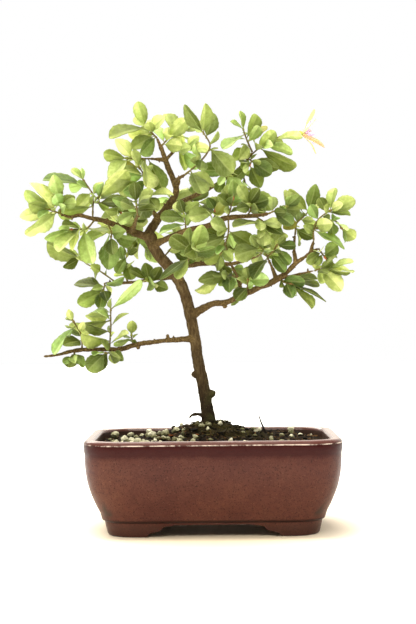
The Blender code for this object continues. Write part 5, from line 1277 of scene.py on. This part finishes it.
def chip_master(chips):
    """One flat, knocked-about bit of bark, which also serves as a clod."""
    deselect()
    bpy.ops.mesh.primitive_cube_add(size=1, location=(0, 0, 0), scale=(2, 1.1, 0.35))
    chip = bpy.context.object
    apply_place(chip)
    bpy.ops.object.mode_set(mode="EDIT")
    bpy.ops.mesh.select_all(action="SELECT")
    bpy.ops.mesh.subdivide(number_cuts=1)
    bpy.ops.object.mode_set(mode="OBJECT")
    # Without a seed of its own, noise_vector starts from the clock
    noise.seed_set(CHIP_SEED)
    for v in chip.data.vertices:
        v.co += noise.noise_vector(v.co * 1.3) * 0.28
    finish_with(chip, chips)
    return chip


def make_ground_cover(stones, moss, chips, dirt):
    """Grit, moss tufts, bark bits and dark clods on the soil."""
    rng = random.Random(COVER_SEED)
    masters = stone_masters(stones)
    settle(scatter("grit", masters, grit_spots(rng), rng), "soil", angle=24, merge=False)
    for master in masters:
        drop(master)
    tuft = tuft_master(moss)
    spots = []
    for _ in range(TUFTS):
        x, y = rng.gauss(8, 20) * MM, rng.gauss(-6, 16) * MM
        if math.hypot(x - TRUNK_FOOT.x, y - TRUNK_FOOT.y) < 5.2 * MM:
            continue
        if noise.noise(Vector((x, y, 0)) / (9 * MM)) < -0.05:
            continue
        spots.append((on_soil(x, y, -0.2 * MM), rng.uniform(0.7, 1.5) * MM, True, rng.uniform(0, 1)))
    settle(scatter("moss", [tuft], spots, rng), "soil", angle=60, merge=False)
    drop(tuft)
    chip = chip_master(chips)
    tried = [(x, y, 1.5) for x, y in BARK_BITS]
    for _ in range(MORE_BARK_BITS):
        tried.append((rng.gauss(-8, 34), rng.gauss(-18, 26), rng.uniform(0.5, 1.1)))
    spots = []
    for x, y, size in tried:
        if abs(x) < 68 and abs(y) < 48 and math.hypot(x + 2.5, y) > 7:
            spots.append((on_soil(x * MM, y * MM, 0.35 * MM), size * MM, True, rng.uniform(0.2, 1)))
    settle(scatter("bark_bits", [chip], spots, rng), "soil", angle=50, merge=False)
    spots = []
    for number in range(CLODS):
        if number < TRUNK_CLODS:
            x, y = rng.gauss(4, 24), rng.gauss(-8, 20)
        else:
            x, y = rng.uniform(-66, 66), rng.uniform(-46, 46)
        if abs(x) < 66 and abs(y) < 46 and math.hypot(x + 2.5, y) > 6:
            size = rng.uniform(0.7, 2) * MM
            spots.append((on_soil(x * MM, y * MM, 0.2 * size), size, False, rng.uniform(0, 1)))
    finish_with(chip, dirt)
    settle(scatter("clods", [chip], spots, rng), "soil", angle=50, merge=False)
    drop(chip)


WOOD_SEED = 12
WOOD_VOXEL = 0.45 * MM
# Wood that carries no spurs
SMOOTH_WOOD = ("surface_root", "stub_low", "stub_under", "stub_right")


def swell(x, y, z, radius, start):
    """How much thicker than its table a piece of wood is: knotty when thin, and flared at its start."""
    knots = 0.42 / max(1, radius / 1.2) ** 1.6 * noise.noise(Vector((x, y, z)) / 2.6)
    flare = 0.5 * math.exp(-(Vector((x, y, z)) - Vector(start[:3])).length / 5) if radius < 3.4 else 0
    return 1 + knots + flare


def spurs(rng):
    """Short stumps that stand off the upper wood here and there."""
    pieces = []
    for name, points in BRANCHES.items():
        if name in SMOOTH_WOOD:
            continue
        route = smooth_route(points, 3)
        for here, there in zip(route[2::3], route[3::3]):
            if here[2] < 118 or rng.random() < 0.25:
                continue
            start = Vector(here[:3])
            along = (Vector(there[:3]) - start).normalized()
            side = Matrix.Rotation(rng.uniform(0, math.tau), 3, along) @ along.orthogonal().normalized()
            way = (side + along * 0.5).normalized()
            reach = here[3] + rng.uniform(0.4, 1.9)
            spur = [(*start, 0.62), (*(start + way * reach), 0.55), (*(start + way * (reach + 0.4)), 0.3)]
            pieces.append(tube("spur", in_metres(spur), 1))
    return pieces


def make_trunk(bark):
    """The wood: branches as tapering tubes with spurs and knobs, grown together and roughened."""
    pieces = []
    routes = []
    for name, points in BRANCHES.items():
        route = smooth_route(points, 5)
        routes += route
        swollen = [(x, y, z, r * swell(x, y, z, r, points[0])) for x, y, z, r in route]
        *tip, radius = swollen[-1]
        swollen.append((*tip, radius * 0.5))
        pieces.append(tube(name, in_metres(swollen), 3))
    pieces += spurs(random.Random(WOOD_SEED))
    for *place, radius in KNOBS:
        deselect()
        bpy.ops.mesh.primitive_ico_sphere_add(subdivisions=3, radius=radius * MM,
                                              location=[value * MM for value in place])
        knob = bpy.context.object
        apply_place(knob)
        for v in knob.data.vertices:
            v.co += v.normal * noise.noise(v.co / (1.6 * MM)) * 0.35 * MM
        pieces.append(knob)
    trunk = join("wood", pieces)
    grown = trunk.modifiers.new("grown", "REMESH")
    grown.mode = "VOXEL"
    grown.voxel_size = WOOD_VOXEL
    apply_modifiers(trunk)
    tree = KDTree(len(routes))
    for number, point in enumerate(routes):
        tree.insert(Vector(point[:3]) * MM, number)
    tree.balance()
    girths = []
    moves = []
    for v in trunk.data.vertices:
        girth = routes[tree.find(v.co)[1]][3]
        girths.append(girth)
        spot = v.co / MM
        lumps = noise.noise(spot / 3.2) * 0.32
        ridges = noise.fractal(Vector((spot.x / 0.9, spot.y / 0.9, spot.z / 3.2)), 0.6, 2.0, 3) * 0.17
        moves.append((lumps + ridges) * min(1, 0.3 + girth / 4.5) * MM)
    normals = [Vector(normal.vector) for normal in trunk.data.vertex_normals]
    for v, move, normal in zip(trunk.data.vertices, moves, normals):
        v.co += normal * move
    set_number(trunk.data, "girth", girths)
    finish_with(trunk, bark)
    return settle(trunk, "bark", "trunk", merge=False)


# Leaf outlines: shares of the length where the rows lie, and the half widths there of a round-tipped leaf,
# an oval one and a pointed one
LEAF_ROWS = (0, 0.05, 0.12, 0.19, 0.27, 0.35, 0.43, 0.51, 0.59, 0.67, 0.75, 0.82, 0.885, 0.94, 0.98, 1)
LEAF_OUTLINES = [
    (0.07, 0.05, 0.06, 0.22, 0.42, 0.6, 0.75, 0.87, 0.95, 1, 1, 0.96, 0.86, 0.68, 0.42, 0.12),
    (0.07, 0.05, 0.06, 0.26, 0.5, 0.7, 0.85, 0.95, 1, 1, 0.95, 0.87, 0.74, 0.55, 0.33, 0.08),
    (0.07, 0.05, 0.06, 0.32, 0.58, 0.79, 0.93, 0.99, 0.98, 0.91, 0.79, 0.66, 0.51, 0.35, 0.2, 0.05),
]
TOOTH = 0.04
# How much narrower the leaves are than those in the solids
SLIMMER = 0.92
LEAF_SKIN = 0.02
ASIDE = 10


def blade_master(name, outline, *materials):
    """One flat leaf or petal, one long and two wide, its rows narrowed to (share, half width) values."""
    deselect()
    bpy.ops.mesh.primitive_grid_add(x_subdivisions=len(outline) - 1, y_subdivisions=4, size=2,
                                    location=(0, 0, 0))
    blade = bpy.context.object
    blade.name = name
    blade.data.uv_layers[0].name = "leaf"
    places = sorted({round(v.co.x, 4) for v in blade.data.vertices})
    bpy.ops.object.mode_set(mode="EDIT")
    # Rows that are done are kept apart from those still to do, until all of them are moved back
    for place, (share, width) in zip(places, outline):
        select_parts(blade, "verts", lambda v, place=place: abs(v.co.x - place) < 0.01)
        bpy.ops.transform.resize(value=(1, width, 1), center_override=(0, 0, 0))
        bpy.ops.transform.translate(value=(share - place - ASIDE, 0, 0))
    bpy.ops.mesh.select_all(action="SELECT")
    bpy.ops.transform.translate(value=(ASIDE, 0, 0))
    bpy.ops.object.mode_set(mode="OBJECT")
    finish_with(blade, *materials)
    return blade


def leaf_master(name, widths, *sides):
    """One leaf with toothed edges and two skins."""
    outline = []
    for number, (share, width) in enumerate(zip(LEAF_ROWS, widths)):
        tooth = 1 + (TOOTH if number % 2 else -TOOTH * 0.6) * (3 < number < len(widths) - 1)
        outline.append((share, width * tooth))
    leaf = blade_master(name, outline, *sides)
    skins = leaf.modifiers.new("skins", "SOLIDIFY")
    skins.thickness = LEAF_SKIN
    skins.offset = -1
    skins.material_offset = 1
    apply_modifiers(leaf)
    return leaf


def leaf_copy(master, name, place, length, shape, tone, rng):
    """Copy the leaf, fold it along its midrib, let it droop and wave, and put it where it grows."""
    copy = copy_of(master, name)
    half = length * LEAF_HALF_WIDTH * shape["width"] * SLIMMER
    wave = rng.uniform(0.01, 0.035) * length
    phase = rng.uniform(0, math.tau)
    twist = rng.uniform(-0.25, 0.25)
    hook = rng.uniform(-0.5, 1) * 0.06 * length
    bow = rng.uniform(-0.02, 0.1)
    crease = rng.uniform(0, 0.3)
    for v in copy.data.vertices:
        share, out, up = v.co.x, v.co.y, v.co.z
        x = share * length
        y = out * half
        z = up * length - (shape["arch"] + bow) * length * share * share
        z += half * (shape["fold"] + crease) * abs(out) ** 1.35
        z += wave * math.sin(share * 9 + phase + out) * abs(out)
        z += y * twist * share - hook * max(0, share - 0.6) * 2.5 * max(0, share - 0.6)
        v.co = place @ Vector((x - LEAF_ROOT, y, z))
    set_number(copy.data, "tone", tone)
    set_number(copy.data, "rust", 0.7 if rng.random() < 0.012 else 0)
    set_number(copy.data, "fresh", rng.uniform(0, 1) ** 3)
    return copy


# Where the leaves are painted lighter, partly as young leaves and partly as painted light, and darker as
# painted shade where the gain is below 0: across, away and up in mm, how far that reaches, and how much
PAINTED_LIGHT_AND_YOUTH_SPOTS = [(-112, -16, 205, 34, 0.36), (-50, -6, 262, 34, 0.4), (-6, -14, 262, 30, 0.36),
               (10, -36, 228, 12, -0.3), (-78, -28, 104, 12, -0.3), (90, -36, 205, 22, 0.34),
               (56, 18, 250, 22, 0.34), (-92, -18, 128, 26, 0.14), (-45, -10, 155, 14, 0.3),
               (86, -38, 168, 14, 0.3), (40, 12, 206, 16, 0.2), (-96, -20, 178, 18, 0.25),
               (24, -28, 182, 12, 0.3), (70, -18, 214, 14, 0.2)]
USUAL_TONE = 0.43
# Leaves of the flower's shoot with rolled-in edges: their order, and the share of their width that is left
ROLLED = {0: 0.62, 1: 0.85, 2: 0.72}
YOUNG_SEED = 900
YOUNG_TRIES = 14
YOUNG_ON_STEM = 5
SHOOT_SEED = 500


def young_leaves(crown):
    """Add small young leaves where there is room left along the stems."""
    young = {}
    for order, (name, stems, typical) in enumerate(SHOOTS):
        rng = random.Random(YOUNG_SEED + order)
        young[name] = []
        for route in stem_routes(stems):
            for number in range(YOUNG_ON_STEM):
                for attempt in range(YOUNG_TRIES):
                    small = typical * rng.uniform(0.5, 0.85)
                    pose = ruled_leaf(rng, route, number, YOUNG_ON_STEM, attempt, small)
                    leaf = crown.grow(name, pose, rng.uniform(*LEAF_FOLD), rng.uniform(0, LEAF_ARCH))
                    if leaf:
                        young[name].append(leaf)
                        break
    return young


def leaf_tone(spot):
    """How light a leaf is painted, from 0 to 1: young ones at the ends of the branches are the lightest, and
    the crown's bright parts are painted lighter and its dark parts darker, as painted light and shade.
    """
    tone = USUAL_TONE
    for x, y, z, reach, gain in PAINTED_LIGHT_AND_YOUTH_SPOTS:
        away = (spot / MM - Vector((x, y, z))).length / reach
        tone += gain * math.exp(-away * away)
    return tone


def bud_at(name, before, end, skin, rng):
    """A small pointed bud on the end of a stem."""
    deselect()
    bpy.ops.mesh.primitive_ico_sphere_add(subdivisions=1, radius=1, location=(0, 0, 0))
    bud = bpy.context.object
    bud.name = name
    for v in bud.data.vertices:
        v.co.x *= 1 - 0.35 * v.co.z
        v.co.y *= 1 - 0.35 * v.co.z
    tip = Vector(end[:3])
    along = (tip - Vector(before[:3])).normalized()
    turn = along.to_track_quat("Z", "Y").to_matrix().to_4x4()
    size = rng.uniform(0.75, 1.05) * MM
    bud.data.transform(Matrix.Translation(tip) @ turn @ Matrix.Diagonal((size, size, size * 1.9, 1)))
    finish_with(bud, skin)
    set_number(bud.data, "tone", 0.2 if rng.random() < 0.2 else rng.uniform(0.6, 1.2))
    return bud


def make_shoots(upper, under, green, bud):
    """Each leafy shoot is one piece: green stems, with the leaves grown on them."""
    placed, crown = place_leaves()
    young = young_leaves(crown)
    masters = [leaf_master("leaf_master", widths, upper, under) for widths in LEAF_OUTLINES]
    for order, (name, stems, _) in enumerate(SHOOTS):
        rng = random.Random(SHOOT_SEED + order)
        pieces = []
        for number, route in enumerate(stem_routes(stems)):
            smooth = enumerate(smooth_route(route, 5))
            knotty = [(x, y, z, r * (1.0 + 0.16 * math.sin(i * 2.1))) for i, (x, y, z, r) in smooth]
            stem = tube(f"{name}_stem_{number}", knotty, 1)
            finish_with(stem, green)
            set_number(stem.data, "tone", 0.5)
            pieces.append(stem)
            pieces.append(bud_at(f"{name}_bud_{number}", route[-2], route[-1], bud, rng))
        for kind, leaves in (("leaf", placed[name]), ("young", young[name])):
            for number, (place, length, shape) in enumerate(leaves):
                if kind == "leaf" and name == FLOWER_SHOOT:
                    shape = {**shape, "width": shape["width"] * ROLLED.get(number, 1)}
                tone = leaf_tone(place @ Vector((length * 0.6, 0, 0))) + rng.uniform(-0.36, 0.36)
                tone = min(1, max(0, tone + (0.1 if kind == "young" else 0)))
                copy_name = f"{name}_{kind}_{number}"
                pieces.append(leaf_copy(rng.choice(masters), copy_name, place, length, shape, tone, rng))
        shoot = join(name.replace("shoot_", "leaves_"), pieces)
        settle(shoot, "leaf", name, merge=False)
    for master in masters:
        drop(master)
    print("leaves", sum(map(len, placed.values())), "young", sum(map(len, young.values())))


def ring_of_petals(name, skin, centre, turn, length, half_width, first_turn, petals):
    """Copy a petal round the flower's axis, each copy with its own lean, twist and tone, and hollow it."""
    master = blade_master(f"{name}_master", PETAL_OUTLINE, skin)
    copies = []
    axis = turn @ Vector((0, 0, 1))
    for number, (spread, twist, tone) in enumerate(petals):
        angle = math.radians(first_turn + 360 / len(petals) * number)
        radial = turn @ Vector((math.cos(angle), math.sin(angle), 0))
        lean = math.radians(spread)
        direction = radial * math.sin(lean) + axis * math.cos(lean)
        facing = axis * math.sin(lean) - radial * math.cos(lean)
        place = leaf_frame(centre, direction, facing)
        copy = copy_of(master, f"{name}_{number}")
        for v in copy.data.vertices:
            share, out = v.co.x, v.co.y
            y = out * half_width
            z = 0.25 * half_width * abs(out) ** 1.5 - 0.12 * length * share * share
            z += 0.02 * length * math.sin(share * 7 + number)
            z += y * math.tan(math.radians(twist)) * share
            v.co = place @ Vector((share * length, y * math.cos(math.radians(twist) * share), z))
        set_number(copy.data, "tone", tone)
        copies.append(copy)
    drop(master)
    ring = join(name, copies)
    body = ring.modifiers.new("body", "SOLIDIFY")
    body.thickness = PETAL_BODY
    body.offset = 0
    smooth = ring.modifiers.new("smooth", "SUBSURF")
    smooth.levels = 1
    smooth.render_levels = 1
    apply_modifiers(ring)
    return ring


# Share of a petal's length, and share of its half width there
PETAL_OUTLINE = [(0, 0.7), (0.08, 0.8), (0.2, 0.92), (0.35, 1), (0.5, 1), (0.65, 0.95), (0.78, 0.82),
                 (0.88, 0.62), (0.95, 0.4), (1, 0.12)]
PETAL_BODY = 0.3 * MM
# Each sepal and petal: lean off the flower's axis and twist of its tip in degrees, and how pale it is
SEPALS = [(64, -5, 0.9), (50, 48, 0.62), (66, -45, 1.0), (42, -32, 0.1), (46, -14, 0.5)]
PETALS = [(64, 30, 0.9), (58, 0, 0.6), (50, -20, 0.4), (40, 10, 0.3), (48, 0, 0.7)]
FLOWER_SEED = 3
STAMENS = 34


def make_flower(sepal, petal, stamen, green):
    """One open flower on its stalk: five long sepals, five short petals and a brush of stamens."""
    axis = flower_axis()
    turn = axis.to_track_quat("Z", "Y")
    centre = mm(FLOWER_CENTRE)
    stalk = tube("stalk", stalk_route(-0.4 * MM), 2)
    deselect()
    bpy.ops.mesh.primitive_uv_sphere_add(segments=16, ring_count=10, radius=1, location=(0, 0, 0))
    calyx = bpy.context.object
    lift = Matrix.Translation(centre) @ turn.to_matrix().to_4x4()
    calyx.data.transform(lift @ Matrix.Diagonal((1.9 * MM, 1.9 * MM, 1.5 * MM, 1)))
    set_number(calyx.data, "tone", 1.35)
    set_number(stalk.data, "tone", 1.1)
    stalk = join("flower_stem", [stalk, calyx])
    finish_with(stalk, green)
    settle(stalk, "stalk", "flower_stalk")
    base = centre + axis * (HUB_HEIGHT * 0.5)
    ring = ring_of_petals("sepals", sepal, base, turn, SEPAL_LENGTH, SEPAL_HALF_WIDTH, FLOWER_TURN, SEPALS)
    settle(ring, "sepal", "flower_sepals")
    base += axis * 1.2 * MM
    ring = ring_of_petals("petals", petal, base, turn, PETAL_LENGTH, PETAL_HALF_WIDTH, PETAL_TURN, PETALS)
    settle(ring, "petal", "flower_petals")
    rng = random.Random(FLOWER_SEED)
    base += axis * 0.6 * MM
    threads = []
    for number in range(STAMENS):
        angle = number * 2.4
        lean = math.radians(6 + 34 * (number / STAMENS))
        direction = turn @ Vector((math.cos(angle) * math.sin(lean), math.sin(angle) * math.sin(lean),
                                   math.cos(lean)))
        tip = base + direction * STAMEN_LENGTH * rng.uniform(0.8, 1.08)
        bend = base.lerp(tip, 0.55) + axis * 0.3 * MM
        threads.append(tube("thread", [(*base, 0.11 * MM), (*bend, 0.09 * MM), (*tip, 0.08 * MM)], 0))
        deselect()
        bpy.ops.mesh.primitive_ico_sphere_add(subdivisions=1, radius=0.27 * MM, location=tip)
        anther = bpy.context.object
        apply_place(anther)
        set_number(anther.data, "tone", 1.0)
        threads.append(anther)
    brush = join("stamens", threads)
    finish_with(brush, stamen)
    settle(brush, "stamen", "flower_stamens")


def make_dry_stick(wood):
    low, high = mm((36, 4, 54)), mm((30, 4, 71))
    route = []
    for number in range(9):
        share = number / 8
        spot = low.lerp(high, share) + Vector((math.sin(share * 6) * 0.3, math.cos(share * 5) * 0.2, 0)) * MM
        route.append((*spot, (1.05 - 0.75 * share) * MM))
    stick = tube("dead_twig", route, 2)
    set_number(stick.data, "tone", 0.5)
    finish_with(stick, wood)
    settle(stick, "dry_wood", "dry_stick")


def make_studio():
    """A pale floor, soft light all round with a stronger light from above, and the camera."""
    deselect()
    bpy.ops.mesh.primitive_plane_add(size=6, location=(0, 0, 0))
    floor = bpy.context.object
    floor.name = "studio_floor"
    finish_with(floor, floor_finish())
    world = bpy.data.worlds.new("studio")
    bpy.context.scene.world = world
    world.use_nodes = True
    w = Nodes(world.node_tree)
    way = w.node("ShaderNodeSeparateXYZ", {0: w.node("ShaderNodeTexCoord").outputs["Generated"]})
    room = w.between(way.outputs["Y"], -1, 1, *ROOM_LIGHT)
    light = w.plus(room, w.between(way.outputs["Z"], -0.1, 1, 0, SKY_LIGHT))
    seen = w.node("ShaderNodeLightPath").outputs["Is Camera Ray"]
    background = w.tree.nodes["Background"]
    w.put(background.inputs["Strength"], w.node("ShaderNodeMix", {0: seen, 2: light, 3: 1}).outputs[0])
    w.put(background.inputs["Color"], w.mix(seen, (*WARM, 1), (1, 1, 1, 1)))
    for name, place, wide, tall, power in LAMPS:
        light = bpy.data.lights.new(name, "AREA")
        light.shape = "RECTANGLE"
        light.size = wide
        light.size_y = tall
        light.energy = power
        light.color = WARM
        lamp = bpy.data.objects.new(name, light)
        bpy.context.scene.collection.objects.link(lamp)
        lamp.location = place
        lamp.rotation_euler = (LAMPS_AIM - Vector(place)).to_track_quat("-Z", "Y").to_euler()
    lens = bpy.data.cameras.new("camera")
    lens.sensor_width = SENSOR
    lens.lens = FOCAL_PIXELS / PICTURE_HEIGHT * SENSOR
    lens.clip_start = 0.05
    lens.clip_end = 20
    camera = bpy.data.objects.new("camera", lens)
    bpy.context.scene.collection.objects.link(camera)
    level = Matrix.Translation(POT_CENTRE + mm(CAMERA_PLACE)) @ Matrix.Rotation(math.pi / 2, 4, "X")
    camera.matrix_world = level @ Matrix.Rotation(CAMERA_ROLL, 4, "Z")
    bpy.context.scene.camera = camera
    bpy.context.scene.view_settings.view_transform = "Standard"


# Skins of stone and plant: colour stops, size of the mottling in mm, roughness, and then, where they differ
# from the usual, the depth of the relief in mm and the share of light that comes through
SKINS = {
    "grit_stone": ([(0.15, 48, 46, 30), (0.45, 128, 126, 90), (0.85, 238, 234, 206)], 1.2, 0.8, 0.3),
    "moss": ([(0.25, 28, 26, 10), (0.55, 62, 58, 24), (0.85, 118, 116, 50)], 1.0, 0.85),
    "bark_bits": ([(0.25, 58, 32, 18), (0.55, 112, 60, 30), (0.85, 176, 98, 48)], 0.9, 0.8, 0.2),
    "clods": ([(0.25, 14, 10, 6), (0.5, 30, 24, 14), (0.75, 64, 56, 28), (1, 104, 94, 50)], 0.9, 0.85, 0.2),
    "green_stem": ([(0.3, 84, 70, 36), (0.55, 116, 104, 52), (0.75, 150, 148, 70), (1, 200, 212, 96)],
                   1.6, 0.5),
    "bud": ([(0.3, 196, 116, 78), (0.5, 128, 104, 56), (0.75, 120, 124, 58), (1, 184, 190, 86)], 1.4, 0.5),
    "sepal": ([(0.15, 246, 204, 178), (0.42, 250, 224, 156), (0.62, 250, 246, 158), (0.85, 253, 250, 206)],
              3, 0.5, 0.05, 0.3),
    "petal": ([(0.3, 244, 206, 244), (0.7, 252, 238, 252)], 2, 0.5, 0.05, 0.3),
    "stamen": ([(0.3, 226, 140, 206), (0.6, 240, 176, 224), (0.85, 246, 214, 120)], 1, 0.6, 0.03),
    "dead_wood": ([(0.3, 22, 18, 15), (0.6, 40, 33, 27), (0.85, 62, 52, 42)], 1, 0.85, 0.2),
}
# The two sides of a leaf: colour stops, colour of the veins, and roughness. The near-white top stops are
# reached where the leaves are painted lightest, as painted light
LEAF_SIDES = {
    "leaf_upper": ([(0, 52, 63, 24), (0.25, 90, 104, 50), (0.5, 137, 151, 84), (0.75, 190, 203, 122),
                    (1, 250, 253, 184)], (180, 188, 122), 0.36),
    "leaf_under": ([(0, 86, 99, 52), (0.35, 126, 140, 80), (0.65, 178, 192, 116), (1, 246, 252, 184)],
                   (194, 202, 148), 0.52),
}


def main():
    make_studio()
    make_pot(glaze_finish())
    make_soil(soil_finish())
    skins = {name: skin_finish(name, *values) for name, values in SKINS.items()}
    make_ground_cover(skins["grit_stone"], skins["moss"], skins["bark_bits"], skins["clods"])
    make_trunk(bark_finish())
    upper, under = [leaf_finish(name, *values) for name, values in LEAF_SIDES.items()]
    make_shoots(upper, under, skins["green_stem"], skins["bud"])
    make_flower(skins["sepal"], skins["petal"], skins["stamen"], skins["green_stem"])
    make_dry_stick(skins["dead_wood"])
    screens = screen_finish()
    for name in ("drain_screen_left", "drain_screen_right"):
        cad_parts[name].material_slots[0].material = screens


main()
